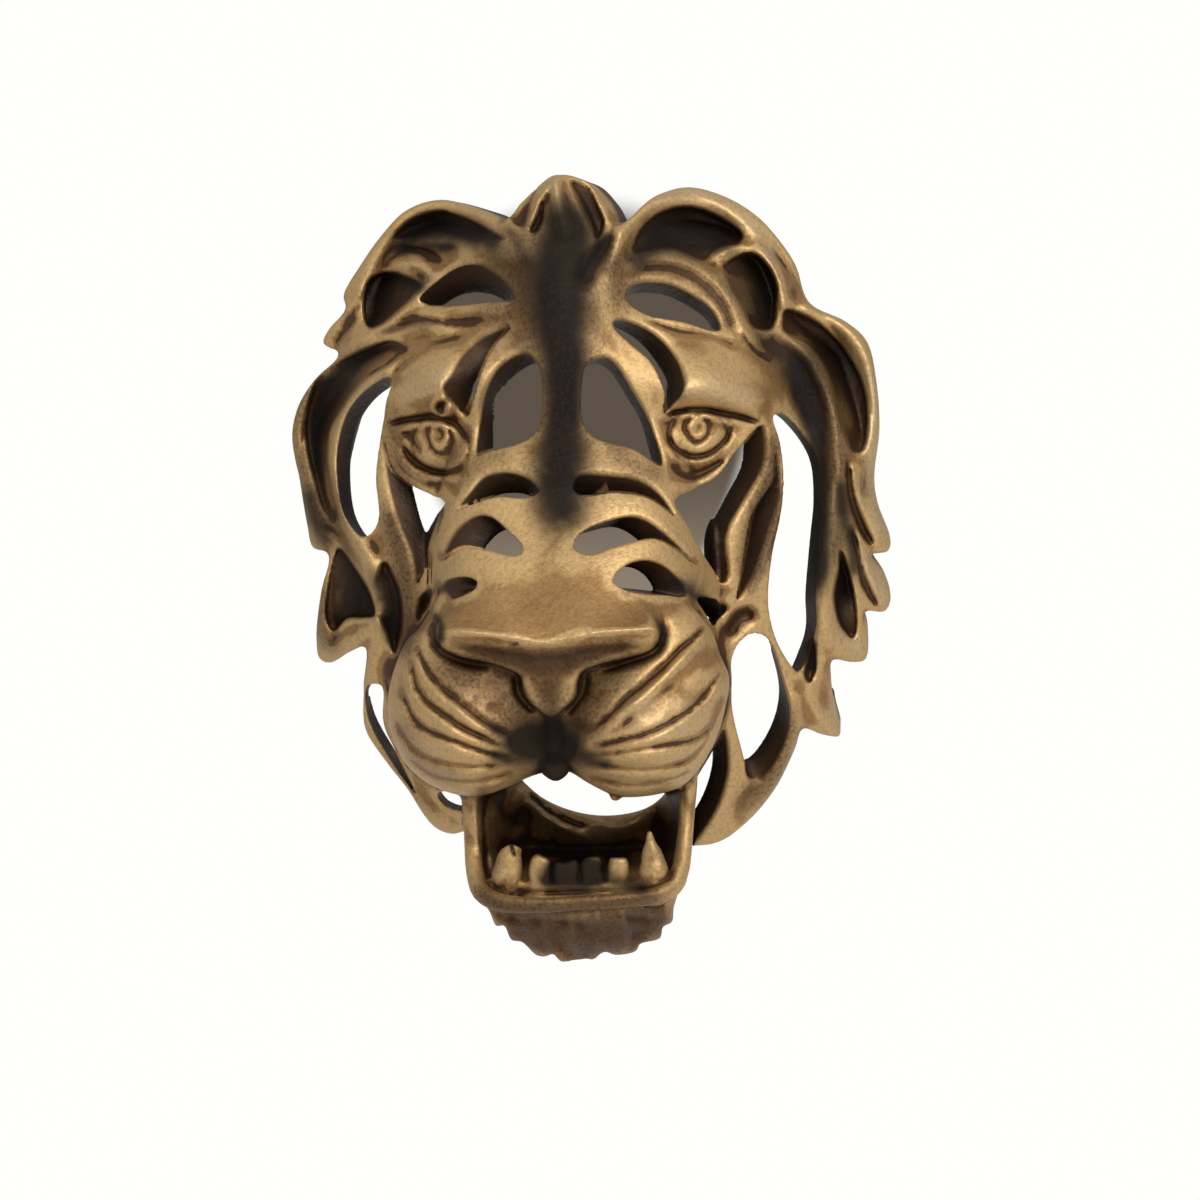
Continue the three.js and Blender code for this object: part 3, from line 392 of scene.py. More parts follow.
def sunk_in(line, toward_u, toward_v, fall):
    """How deep a hollow is: nought at its edge, then a ramp to its deep side, or a level floor."""
    inside = inside_distance(line)
    far = np.hypot(toward_u, toward_v)
    along = np.asarray(line) @ (toward_u, toward_v)
    if far > 0:
        share = (grid_u * toward_u + grid_v * toward_v - along.min()) / (along.max() - along.min())
        share = share.clip(0, 1)
    else:
        share = 1.0
    return fall * (0.12 + 0.88 * share) * ease(-0.5, 1.6, inside)


hollow_fall = np.maximum.reduce([sunk_in(*hollow) for hollow in HOLLOWS])

# %% [markdown]
# ## Locks, brows, eyes and creases
#
# What lies on the head is drawn with strokes: each is a curve with a width and a height, raised for a
# lock's crest and sunk for the crease beside it. Strokes that are wide next to their height read as
# modelled clay, and narrow ones as tool marks.

# %% The crests of the locks
LOCK_CRESTS = (
    (((-24, 116), (-34, 118), (-45, 114), (-56, 105), (-66, 96.5), (-76, 90), (-86, 83)), (5, 5, 3, 2.5, 3),
     4.0),
    (((-70, 112), (-62, 112), (-55, 108)), (2, 2.5, 2), 3.0),
    (((-66, 119), (-54, 119.5), (-44, 116.5)), (1.5, 2.5, 3), 2.0),
    (((-48, 90.5), (-58, 91.8), (-68, 89.3), (-78, 85.5), (-86, 81.5)), (3, 3.5, 3, 2.5), 3.2),
    (((-30, 98.5), (-42, 97.5), (-54, 95.8), (-62, 95.5)), (3, 3, 2.5, 1.5), 2.0),
    (((-66, 79), (-73, 75.5), (-80, 69), (-86, 60), (-88.4, 48), (-87.3, 36), (-83, 24), (-76, 10),
      (-72, -2)), (2.5, 3, 3, 2.5, 2.5, 3, 3), 4.0),
    (((-88, 80), (-97, 70), (-100.5, 58), (-99.5, 46), (-97, 34), (-93, 22), (-86, 18)),
     (2, 2.5, 2.5, 2.5, 2), 3.5),
    (((-34, 125), (-44, 130), (-55, 131.5), (-64, 128.5), (-72, 119.5), (-78, 108), (-82, 96)),
     (3, 3, 3, 3.5), 4.0),
    (((-79, 104), (-84, 96), (-88, 88)), (2, 3, 3), 2.0),
    (((-92, 10), (-93, -6), (-90, -16), (-82, -13), (-77, -9)), (2, 3, 3, 2), 3.0),
    (((3, 112), (7, 122), (15, 130.5), (27, 134), (39, 131.5), (49, 124), (57, 112), (62, 100), (61, 92)),
     (3, 3, 3, 3, 3, 2), 4.5),
    (((38, 114), (46, 117.5), (54, 115), (59.5, 106), (60.5, 94)), (1.5, 2, 2, 1.5), 2.5),
    (((8, 110), (16, 114), (28, 113), (38, 107), (44, 99), (48, 90), (53, 82)), (2, 2.5, 2.5, 2.5, 2), 2.5),
    (((62, 99), (72, 96.5), (82, 90), (88.5, 80), (91, 68), (91, 54), (87, 46)), (3, 3.5, 3.5, 3, 3), 4.5),
    (((60, 89), (68, 83), (74, 74), (78.4, 62), (80, 48), (80, 32), (78, 14), (76, 0), (77, -12),
      (84, -18)), (2, 2.5, 3, 4, 4.5, 4.5, 4, 4), 4.5),
    (((86, 47), (85, 36), (91, 26), (94, 18)), (3, 3.5, 3), 2.5),
    (((82, 30), (83, 20), (88, 10), (93, 0)), (2.5, 3, 3), 2.5),
    (((-73, -2), (-75.5, -14), (-77.5, -30)), (3, 4, 3), 3.0),
    (((-78.5, -40), (-71, -54), (-60, -69), (-48, -77)), (2.5, 3, 3), 2.5),
    (((64, -28), (65, -42), (60, -56), (48, -73)), (3, 3.5, 3), 2.5),
    (((70, -28), (72, -36), (78, -44)), (3, 3, 2), 2.0),
    (((-15, 141), (-14, 132), (-11, 122)), (1.8, 2.6, 3.4), 4.0),
    (((-17, 138), (-20.5, 133), (-24, 124)), (0.8, 1.0, 1.2), 2.0),
    (((24, 68.5), (33, 69.5), (44, 68), (54, 64.5)), (3.5, 5, 5, 3.5), 3.0),
    (((-71, 64), (-64, 67.5), (-57, 69), (-51, 70)), (3, 4.5, 4.5, 3.5), 2.6),
)

# %% The creases and valleys
CREASES = (
    (((82.4, 46.6), (83.5, 36), (86.5, 26), (90.9, 18)), (0.8, 1.5, 1.6, 1.0), -3.6),
    (((83.7, 24.5), (86, 14), (88.6, 5), (92.8, -2.8)), (0.8, 1.4, 1.5, 0.8), -3.4),
    (((-45, 88.5), (-56, 84.5), (-64, 80), (-70, 75)), (1.5, 2.0, 1.2), -1.6),
    (((-68, 92), (-60, 93.6), (-50, 92.2), (-38, 93.5)), (1.2, 1.2, 1.5), -1.6),
    (((-67, 81), (-76, 75.5), (-84, 66)), (0.6, 0.8, 0.7), -1.4),
    (((14, 94.5), (26, 90), (38, 88), (46, 84)), (1.2, 1.5, 1.2), -1.0),
    (((57, 80), (52, 83), (47, 89.5)), (0.7, 0.9, 0.7), -1.5),
    (((-55, -4), (-53.5, -9), (-55, -14)), (1.5, 2.0, 1.5), -1.0),
)
VALLEYS = (
    (((81, 40), (82, 28), (84, 18)), (2.5, 3.4, 2.5), -2.6),
    (((51, 88), (58, 80), (64, 70), (68.5, 58), (71.5, 44), (72, 25)), (5, 7, 7, 5, 3.5), -4.5),
    (((4, 121), (-2, 113), (-6, 106)), (2.5, 4, 3), -3.0),
    (((43, -11), (46, -6.5), (50, -4.5)), (2.5, 3.2, 2.5), -4.0),
    (((20, 121), (30, 117), (40, 110)), (3, 3.5, 3), -2.0),
)
head_relief = np.zeros(grid_u.shape, np.float32)
for points, widths, height in LOCK_CRESTS + CREASES + VALLEYS:
    head_relief += stroke(points, widths, height)

# %% [markdown]
# The eyes are too small for strokes alone. Each is a ball in a shallow socket, with a round iris ring
# pressed into it and a small raised pupil, so its relief is a formula of the distance from its middle. The
# lids and the folds around them are strokes again. The blister beside the left eye is a flaw of the
# casting, a ring with a pearl in it, and it is kept.

# %% The eyes
RIGHT_EYE_FOLDS = (
    (((22, 62), (28, 62.8), (36, 62.8), (45, 61.5), (53.5, 59)), (0.8, 1.2, 1.2, 0.8), -3.2),
    (((22.5, 56), (24.5, 51.5), (29, 48.4), (35, 48.4), (40.5, 52), (44, 58)), (0.7, 1.0, 0.8), -2.2),
    (((24, 61), (31, 62), (39, 60.8), (44, 58.5)), (0.8, 1.2, 0.9), 1.8),
    (((22, 52), (26, 47), (33, 45.4), (40, 48.5), (46, 55)), (1.0, 1.4, 1.2), 1.4),
    (((24, 45), (29, 41.5), (35, 43), (42, 47)), (0.9, 1.4, 0.8), -1.8),
    (((24, 38), (30, 37.5), (38, 41)), (1.0, 1.5, 1.2), 0.9),
)
LEFT_EYE_FOLDS = (
    (((-71, 58.5), (-63, 60.3), (-54, 60.8), (-48, 58.5), (-43.5, 51.5)), (0.8, 1.3, 1.3, 0.9), -3.4),
    (((-66, 51.5), (-62.5, 46.8), (-57, 43.6), (-50, 42.4), (-45.3, 44.5)), (0.8, 1.3, 1.0), -2.8),
    (((-69, 55.5), (-62, 58), (-54, 58.9), (-48.5, 56.5)), (0.7, 1.1, 0.9), 1.6),
    (((-68, 49), (-62, 43), (-54, 40.2), (-46, 41)), (1.0, 1.6, 1.2), 1.5),
    (((-66, 56), (-62, 53), (-60, 49)), (0.9, 1.4, 1.0), -1.4),
    (((-58, 38.5), (-52, 39.5), (-47.5, 35)), (0.8, 1.1, 0.8), -0.9),
)
EYES = (
    {"middle": (32.2, 57.0), "wide": 1.0, "tall": 1.05, "folds": RIGHT_EYE_FOLDS},
    {"middle": (-53.6, 54.8), "wide": 0.92, "tall": 1.35, "folds": LEFT_EYE_FOLDS},
)
BALL_RADIUS, BALL_RISE = 9.4, 4.2
SOCKET_SPREAD, SOCKET_FALL = 13.0, 2.6
IRIS_RADIUS, IRIS_CUT = 4.3, 1.0
BLISTER, BLISTER_RADIUS = (-52.6, 64.3), 2.9
for eye in EYES:
    across, upward = grid_u - eye["middle"][0], grid_v - eye["middle"][1]
    off_centre = np.hypot(across / eye["wide"], upward / eye["tall"]) + 0.25 * uneven(1.6, 9)
    off_ball = np.hypot(across - 0.6, upward + 2.5)
    eyeball = np.sqrt((1 - (off_ball / BALL_RADIUS) ** 2).clip(0))
    head_relief += BALL_RISE * eyeball - SOCKET_FALL * bell(off_centre, SOCKET_SPREAD)
    head_relief -= IRIS_CUT * bell(off_centre - IRIS_RADIUS, 0.7)
    head_relief += 0.6 * bell(off_centre - IRIS_RADIUS + 1.4, 0.9)
    head_relief += 0.9 * bell(np.hypot(across + 1.2, upward - 0.6), 1.3)
    for points, widths, height in eye["folds"]:
        head_relief += stroke(points, widths, height)
off_blister = np.hypot(grid_u - BLISTER[0], grid_v - BLISTER[1])
off_pearl = np.hypot(grid_u - BLISTER[0] - 1.5, grid_v - BLISTER[1] + 0.2)
head_relief += 1.9 * bell(off_blister - BLISTER_RADIUS, 0.8)
head_relief += 3.2 * bell(off_pearl, 1.1) - 2.6 * bell(off_blister, 1.9)
head_relief += 0.16 * uneven(6.0, 1)
head_front = smooth_head + head_relief
print("the head's relief runs from", head_relief.min(), "to", head_relief.max())

# %% [markdown]
# ## From relief to a wall with two faces
#
# The field holds one number for each small cube of space: minus inside the casting, plus outside. The head
# is the space behind its front face, in front of the wall, outside the hollow, inside the outline and
# outside the openings. Joining two of these with a rounded greater-of gives each edge the soft radius of
# the casting. The inner face could be the front moved back, but where the front is steep the wall would
# come out thin. So the inner face is what a ball as big as the wall is thick leaves when it rolls along the
# front. An opening leans its own way as it goes back, so each layer of the box looks it up a little to the
# side.

# %% Rounded joins
def rounded_both(first, second, radius):
    """Inside both forms, their edge rounded: the greater, less a quarter circle near the corner."""
    a, b = np.maximum(first + radius, 0), np.maximum(second + radius, 0)
    return np.minimum(np.maximum(first, second), -radius) + np.sqrt(a * a + b * b)


def blended_either(first, second, radius):
    """Inside either form, with a fillet: the lesser, less a parabola where the two are about equal."""
    near = np.maximum(radius - np.abs(first - second), 0) / radius
    return np.minimum(first, second) - near * near * radius * 0.25


def tilt_of(surface):
    """How much shorter a true thickness is than its depth along the sight line, from the surface's slope."""
    slope_u, slope_v = np.gradient(surface, STEP)
    return 1 / np.sqrt(1 + 1.2 * (slope_u * slope_u + slope_v * slope_v))


# %% How the sides of openings lean
def drift_of(surface, way):
    """How far u and v move for each unit of depth lost when a point goes some way into the casting."""
    x, z = sighted(grid_u, grid_v, surface)
    ahead = way(x, surface, z)
    moved = [x + 8 * ahead[0], -surface + 8 * ahead[1], z + 8 * ahead[2]]
    u, v = projected(*moved)
    lost = np.maximum(8 * ahead[1], 1.0)
    return ((u - grid_u) / lost).astype(np.float32), ((v - grid_v) / lost).astype(np.float32)


def straight_back(x, depth, z):
    """The way straight into the wall."""
    return np.array([np.zeros_like(x), np.ones_like(x), np.zeros_like(x)])


def looked_up(picture, u, v):
    """The picture's value between its grid points: the four nearest, each by how close it is."""
    a = ((u - low_u) / STEP).clip(0, picture.shape[0] - 1.001)
    b = ((v - low_v) / STEP).clip(0, picture.shape[1] - 1.001)
    i, j = a.astype(np.int32), b.astype(np.int32)
    p, q = a - i, b - j
    top = picture[i, j] * (1 - p) + picture[i + 1, j] * p
    side = picture[i, j + 1] * (1 - p) + picture[i + 1, j + 1] * p
    return top * (1 - q) + side * q


# %% The wall's thickness
FACE_WALL = 9.0
WALL_CLEARANCE = 0.3
TUNNEL, MOST_LEAN = 12.0, 2.2
RIM_SHARE, RIM_REACH = 0.995, 95.0
OPENING_EDGE = 0.9
OUTER_EDGE = 2.4
BACK_EDGE = 1.5
HOLLOW_HALF_WIDTH, HOLLOW_HALF_HEIGHT = 85.4, 107.4
line_d = np.arange(-2.0, 118.0, STEP, dtype=np.float32)


def inner_face(surface, wall):
    """The surface one wall's thickness inside: the least of the front less a ball of that radius."""
    reach = int(wall / STEP)
    padded = np.pad(surface, reach, mode="edge")
    inner = surface - wall
    for i in range(-reach, reach + 1):
        for j in range(-reach, reach + 1):
            rest = wall * wall - STEP * STEP * (i * i + j * j)
            if rest > 0 and (i + j) % 2 == 0:
                moved = padded[reach + i:reach + i + len(line_u), reach + j:reach + j + len(line_v)]
                inner = np.minimum(inner, moved - np.sqrt(rest))
    return inner


# %% The front, the inner face and the tunnels
rim_drift = drift_of(smooth_head, straight_back)
hollow_fall = np.minimum(hollow_fall, np.minimum(smooth_head - 4.0, 1.0 + 0.8 * silhouette_map).clip(0))
head_front = head_front - hollow_fall
head_tilt = tilt_of(head_front)
head_inner = evened(inner_face(np.minimum(smooth_head, head_front + 2.5), FACE_WALL), 1.0)
inner_tilt = tilt_of(head_inner)
opening_places = [window(curve_through(line, True), 14.0) for line, _, _ in OPENINGS]
on_snout = [np.asarray(line)[:, 0].max() < SNOUT_HALF_WIDTH for line, _, _ in OPENINGS]
tunnel_starts = [smooth_head if snout else np.minimum(smooth_head, smooth_dome + 2) for snout in on_snout]
print(sum(on_snout), "openings start at the snout's face, and the rest no higher than the dome")

# %% The head's field
field = np.full(grid_u.shape + line_d.shape, 5.0, np.float32)
for k, depth in enumerate(line_d):
    below = smooth_head - depth
    pierced = np.where(below > -3, throat_map, -FAR)
    for opening, near, place, start in zip(OPENINGS, opening_maps, opening_places, tunnel_starts):
        if below[place].max() < -4:
            continue
        share = ((start[place] - depth) / TUNNEL).clip(0, MOST_LEAN)
        here = looked_up(near, grid_u[place] - share * opening[1], grid_v[place] - share * opening[2])
        pierced[place] = np.maximum(pierced[place], here)
    fallen = below.clip(-3, 40)
    outline = -looked_up(silhouette_map, grid_u - fallen * rim_drift[0], grid_v - fallen * rim_drift[1])
    x, z = sighted(grid_u, grid_v, depth)
    share = np.hypot(x / HOLLOW_HALF_WIDTH, (z - HEAD_MIDDLE) / HOLLOW_HALF_HEIGHT)
    rim = (RIM_SHARE - share) * RIM_REACH
    back = np.minimum((head_inner - depth) * inner_tilt, rim)
    layer = rounded_both((depth - head_front) * head_tilt, outline, OUTER_EDGE)
    layer = rounded_both(layer, pierced, OPENING_EDGE)
    layer = rounded_both(layer, back, BACK_EDGE)
    field[:, :, k] = np.maximum(layer, WALL_CLEARANCE - depth)
print("the head's field is", field.shape)

# %% [markdown]
# ## The muzzle
#
# The muzzle is a box of its own that is carried in front of the face: two swollen lip pads under a
# wedge-shaped nose, hollow behind. Its front is a formula of the place, rounded down towards its outline.
# The whisker folds are pairs of strokes, a cut with a lip just below it, which is how a modelling tool
# leaves them. Grooves round the nose part it from the pads.

# %% The muzzle's front
MUZZLE_OUTLINE = (
    (-50, 6), (-60, -9), (-64.3, -13.3), (-67.8, -20.7), (-70.5, -31), (-70.3, -42), (-65.7, -53.3),
    (-58, -60.7), (-48, -64.8), (-38.7, -65), (-30.7, -62.3), (-22.7, -58.7), (-16, -57), (-10.5, -57.2),
    (-4, -61), (3.7, -64.8), (7.7, -65.7), (18, -65), (27.3, -62), (33.3, -56), (38.7, -46.7), (42, -35),
    (43.1, -26), (40, -18), (37, -9.7), (31, -2), (22, 2), (8, 4), (-10, 5), (-28, 6), (-42, 7),
)
MUZZLE_ROUNDING = 17.0
MUZZLE_WALL = 7.0
MUZZLE_BACK = 44.0
MUZZLE_FRONT = 96.4
PAD_APART, PAD_MIDDLE = 25.0, -21.0
PAD_RISE, PAD_WIDE, PAD_TALL = 16.0, 19.0, 21.0
GROOVE_FALL, GROOVE_WIDE = 4.0, 7.0

# %% The whisker folds
NOSE_MIDDLE = -17.7
WHISKER_FOLDS = (
    ((-62, -14), (-56.4, -25.4), (-47, -33.8), (-37, -41.2), (-29, -45)),
    ((-63, -19), (-61, -30), (-50, -40), (-32, -49)),
    ((-66.5, -30), (-61, -41), (-47, -47.7), (-29, -53)),
    ((-68.5, -40.5), (-61, -50.6), (-47, -55.2), (-31.5, -54.8)),
    ((-66, -51), (-55, -58.8), (-40, -60.2), (-28.5, -57.5)),
    ((36.5, -7), (26, -18), (13, -30.5), (-4, -44)),
    ((30, -13), (18, -24.5), (2.5, -37.5)),
    ((41, -23), (32, -35), (16.5, -44), (-3.5, -49)),
    ((41.8, -31), (35, -44.5), (16.5, -49.3), (-5.5, -51.5)),
    ((38, -44), (28.8, -53.6), (13.5, -56.3), (-4, -54.5)),
    ((33, -56), (20, -60.6), (7, -61.6), (-4, -58.8)),
)


# %% The muzzle's relief
def muzzle_depth(x, z):
    """A flat front with two bells, one for each lip pad, less the groove between them."""
    pads = PAD_RISE * bell(np.abs(x) - PAD_APART, PAD_WIDE) * bell(z - PAD_MIDDLE, PAD_TALL)
    return MUZZLE_FRONT + pads - GROOVE_FALL * bell(x, GROOVE_WIDE) * ease(-12, -26, z)


muzzle_map = inside_distance(MUZZLE_OUTLINE, 30.0)
to_edge = (MUZZLE_ROUNDING - muzzle_map).clip(0, MUZZLE_ROUNDING)
rounding = MUZZLE_ROUNDING - np.sqrt(MUZZLE_ROUNDING**2 - to_edge**2)
smooth_muzzle = meet(muzzle_depth, 100.0)
muzzle_front = smooth_muzzle - rounding
for points in WHISKER_FOLDS:
    side = -1 if points[0][0] < NOSE_MIDDLE else 1
    lip = tuple((u + 1.0 * side, v - 2.5) for u, v in points)
    muzzle_front += stroke(points, (0.7, 1.2, 1.2, 0.7), -1.3) + stroke(lip, (1.4, 2.8, 2.6, 1.2), 1.5)
muzzle_front += stroke(((-16.5, -40), (-17, -47), (-15.5, -57)), (2.0, 4.2, 2.2), -2.6)
muzzle_front += 0.16 * uneven(1.6, 3)
NOSE_GROOVES = (
    (((-55, -7), (-56, -12), (-53, -17), (-46, -20.5), (-37, -22.5)), (1.4, 2.0, 1.8, 1.2), -3.0),
    (((19.5, -4), (21, -10), (18.5, -16.5), (10, -20.5), (0, -23.5)), (1.4, 2.0, 1.8, 1.2), -3.0),
    (((-28, -25.5), (-27.2, -31), (-22, -37.5)), (1.2, 1.5, 1.2), -2.4),
    (((-4.6, -25), (-5.6, -31), (-11, -38)), (1.2, 1.5, 1.2), -2.4),
)
for points, widths, height in NOSE_GROOVES:
    muzzle_front += stroke(points, widths, height)

# %% [markdown]
# The nose lies on the pads: a plane that comes down from the bridge to a crisp front edge, and below it a
# front face that narrows to a point between the pads.

# %% The nose
NOSE_OUTLINE = (
    (-46, 2), (-51, -4), (-54, -9), (-54.2, -12.5), (-52.5, -15.5), (-46.5, -18.7), (-38, -20.5),
    (-31, -22.8), (-26.4, -25.5), (-25.6, -29), (-24, -33), (-19, -37.5), (-16, -38.8), (-12, -36),
    (-8.2, -32), (-7.4, -27), (-6, -24), (0, -21.3), (8, -19.4), (14.5, -17.7), (18, -15.5), (19.3, -12),
    (18.6, -8), (16.5, -3), (12, 2), (0, 3), (-17, 3.5), (-34, 3),
)
NOSE_EDGE = ((-56, -13), (-53.5, -11.4), (-49, -10.6), (-43.5, -10.8), (-36, -11.6), (-29.7, -12.5),
             (-20, -14), (-12, -13), (-3, -11.2), (4, -10.4), (13, -9.8), (17, -9.4), (21, -10.5))
NOSE_FRONT, NOSE_HALF_WIDTH, NOSE_SLOPE = 112.5, 36.0, 0.82
NOSE_BACK = 88.0
edge_curve = curve_through(NOSE_EDGE, False)
edge_v = np.interp(grid_u, edge_curve[:, 0], edge_curve[:, 1])
under_edge = (edge_v - grid_v).clip(0)
over_edge = (grid_v - edge_v).clip(0)
off_nose = np.abs(grid_u - NOSE_MIDDLE) / NOSE_HALF_WIDTH
nose_front = NOSE_FRONT - 0.5 * under_edge.clip(0, 6) - 0.12 * under_edge
nose_front -= (NOSE_SLOPE + 1.1 * off_nose**3) * over_edge + 3.4 * off_nose**4
nose_front += 0.5 * bell(grid_v - edge_v, 1.0) + 0.08 * uneven(1.4, 4)
nose_map = inside_distance(NOSE_OUTLINE, 16.0)


# %% [markdown]
# Under the nose hangs a small black nub, and at the right lip a drip, both left by the casting. They are
# balls. The muzzle's shell, the nose and the balls are joined to the head's field with small fillets, as
# one casting has.

# %% The muzzle's and the nose's field
nose_tilt = tilt_of(nose_front)
muzzle_tilt = tilt_of(muzzle_front)
NUB = ((-16.6, -55.6, 84), (-14.8, -56.9, 84), (-13.4, -55.6, 84))
NUB_RADIUS = 3.5
DRIP, DRIP_RADIUS = (5.2, -65.0, 79), 2.0


def ball(middle, radius, depth):
    """Distance to a ball on the drawing at one depth: from its middle, less its radius."""
    return np.sqrt((grid_u - middle[0]) ** 2 + (grid_v - middle[1]) ** 2 + (depth - middle[2]) ** 2) - radius


for k, depth in enumerate(line_d):
    if depth < MUZZLE_BACK - 3:
        continue
    shell = rounded_both((depth - muzzle_front) * muzzle_tilt, -muzzle_map, 2.0)
    core = np.maximum(depth - (smooth_muzzle - rounding - MUZZLE_WALL), MUZZLE_WALL - muzzle_map)
    shell = np.maximum(shell, np.maximum(-core, MUZZLE_BACK - depth))
    nose = rounded_both((depth - nose_front) * nose_tilt, -nose_map, 1.8)
    nose = np.maximum(nose, NOSE_BACK - depth)
    merged = blended_either(shell, nose, 1.5)
    for middle in NUB:
        merged = blended_either(merged, ball(middle, NUB_RADIUS, depth), 1.0)
    merged = blended_either(merged, ball(DRIP, DRIP_RADIUS, depth), 1.0)
    field[:, :, k] = blended_either(field[:, :, k], merged, 3.0)

# %% [markdown]
# ## The jaw
#
# The lower jaw is a bowl: a floor and a back wall that rises to a rim, with two corner bands that run up
# into the lip pads. In front of it stand a rolled lip, four incisors and two canines, and the beard hangs
# below. Each is drawn on sight lines like the rest, with its own relief. The left canine is broken off, and
# stays so.

# %% The jaw's outlines
BOWL_OUTLINE = (
    (-30, -56), (-25, -61), (-19, -66), (-10, -70), (0, -71.8), (10, -71), (17, -68.5), (22, -64),
    (26, -56), (31.5, -56), (30.5, -74), (28, -92), (22, -98), (-34, -99), (-42, -92), (-44, -77),
    (-45.4, -64), (-38, -56),
)
JAW_OUTLINE = (
    (-42.7, -88), (-42.5, -93), (-40.5, -99), (-37, -103.5), (-34.5, -108.7), (-32, -108.5), (-29.5, -113.3),
    (-26, -114), (-21, -118.5), (-18, -118.8), (-15.7, -118), (-13, -120.5), (-8, -121.2), (-3.7, -121.6),
    (0, -118), (2, -117.3), (5, -118.3), (12, -117), (13.3, -114.7), (20, -112.7), (21, -109), (24, -107.3),
    (24.6, -102.5), (26.2, -97), (27.7, -88), (20, -95), (0, -97.5), (-20, -98), (-36, -94),
)

# %% The lip and the teeth
LIP_ROLL = ((-43.2, -64, 66), (-42.6, -80, 68), (-41.6, -91, 74), (-39.3, -97.2, 80), (-34, -100.6, 85),
            (-22, -101.8, 88.5), (-5.7, -100.9, 89.5), (12, -99.6, 88.5), (20.5, -98, 85), (25.6, -93.5, 79),
            (28.6, -76, 68), (29.6, -60, 66))
LIP_DEEPEST, LIP_FURTHEST = 55.0, 98.0
LIP_RADIUS = (2.8, 2.7, 3.0, 3.4, 3.2, 2.6, 2.4, 2.6, 3.2, 3.2, 2.6, 2.5)
CANINES = (
    (((-31, -97, 80), (-30.8, -91, 80.5), (-30.2, -86, 81), (-28.6, -82.5, 81.5)), (4.2, 4.9, 4.3, 3.0)),
    (((18, -97, 80), (17.8, -91, 80.5), (17.2, -84, 81), (16.5, -78, 82)), (5.0, 4.9, 3.4, 0.7)),
)
BROKEN_TOP = -81.2
INCISORS = ((-19.8, -85.4, 3.4), (-10.9, -86.6, 3.9), (-2.8, -86.4, 3.5), (6.2, -85.6, 3.3))
GUM = ((-36, -95, 79), (-28, -95.5, 81), (-10, -96, 82), (6, -95.6, 82), (18, -95.4, 81), (25, -93, 79))
GUM_RADIUS = (2.2, 2.0, 1.8, 1.8, 2.2, 2.2)
TEETH_DEPTH, TOOTH_HALF_DEPTH, TOOTH_BOTTOM = 80.0, 3.4, -99.0

# %% The bowl
BOWL_BACK, BOWL_RISE, BOWL_WALL = 27.0, 42.0, 7.0
left_wall = ((-23 - grid_u) / 17).clip(0, 1)
right_wall = ((grid_u - 18) / 9).clip(0, 1)
floor_rise = ((-82 - grid_v) / 14).clip(0, 1)
walls_and_floor = 1 - (1 - left_wall**1.5) * (1 - right_wall**1.5) * (1 - floor_rise**1.2)
bowl_front = BOWL_BACK + BOWL_RISE * walls_and_floor
BOWL_FOLDS = (
    (((-28, -61), (-24, -66.5), (-17.5, -71.5), (-8, -75.5), (1, -76.3), (10, -74), (15.5, -70.5),
      (20, -65)), (6, 6, 6), 9.0),
    (((-22, -82), (-5, -86), (14, -83)), (4, 5, 4), -4.0),
    (((-42, -62), (-42, -78), (-41, -92)), (2.2, 2.2, 2.2), 2.5),
    (((-38.6, -64), (-38.8, -78), (-37.5, -92)), (1.0, 1.3, 1.0), -3.5),
    (((-35.4, -63), (-35.6, -78), (-34, -91)), (1.8, 2.0, 1.8), 2.0),
    (((29, -60), (29.5, -74), (27.5, -90)), (1.8, 2.0, 1.8), 2.0),
    (((-24, -64), (-17, -70), (-9, -74), (-4, -75.5)), (0.8, 1.1, 0.8), -2.0),
    (((-25, -66), (-18, -72.5), (-8, -77.5)), (0.9, 1.4, 1.0), 1.6),
    (((-2, -73.5), (6, -76), (13, -74)), (1.0, 1.6, 1.0), 1.6),
    (((-22, -69.5), (-13, -75.5), (-3, -79.5)), (0.9, 1.3, 1.0), 2.0),
)
for points, widths, height in BOWL_FOLDS:
    bowl_front += stroke(points, widths, height)
bowl_front += 0.35 * uneven(1.6, 5) + 1.0 * uneven(3.4, 6)
bowl_map = inside_distance(BOWL_OUTLINE, 20.0)

# %% The chin and the beard
CHIN_MIDDLE, CHIN_FRONT, CHIN_WALL = -9.0, 86.0, 9.0
jaw_map = inside_distance(JAW_OUTLINE, 20.0)
jaw_front = CHIN_FRONT - 0.012 * (grid_u - CHIN_MIDDLE) ** 2 - 0.75 * (-101 - grid_v).clip(0)
BEARD_LOCKS = (
    ((-38, -100), (-36, -105), (-33, -109)), ((-33, -101), (-31, -108), (-28, -113)),
    ((-27, -103), (-24, -110), (-20, -117)), ((-19, -103), (-18, -111), (-14, -119)),
    ((-10, -103), (-9, -112), (-6, -120)), ((-1, -103), (0, -110), (-3, -119)),
    ((7, -103), (9, -110), (8, -117)), ((15, -102), (17, -107), (17, -113)),
    ((22, -99), (23, -104), (23, -108)),
)
for points in BEARD_LOCKS:
    jaw_front += stroke(points, (1.2, 1.9, 1.6), 1.4)
jaw_front += stroke(((4, -104.5), (12, -106), (21, -106.5)), (1.0, 1.4, 1.0), -1.8)
jaw_front += stroke(((-37, -104), (-28, -107), (-16, -107), (-4, -109)), (1.0, 1.6, 1.0), -1.6)
jaw_front += ease(-101, -106, grid_v) * (0.4 * uneven(1.4, 7) + 1.8 * uneven(3.4, 8))


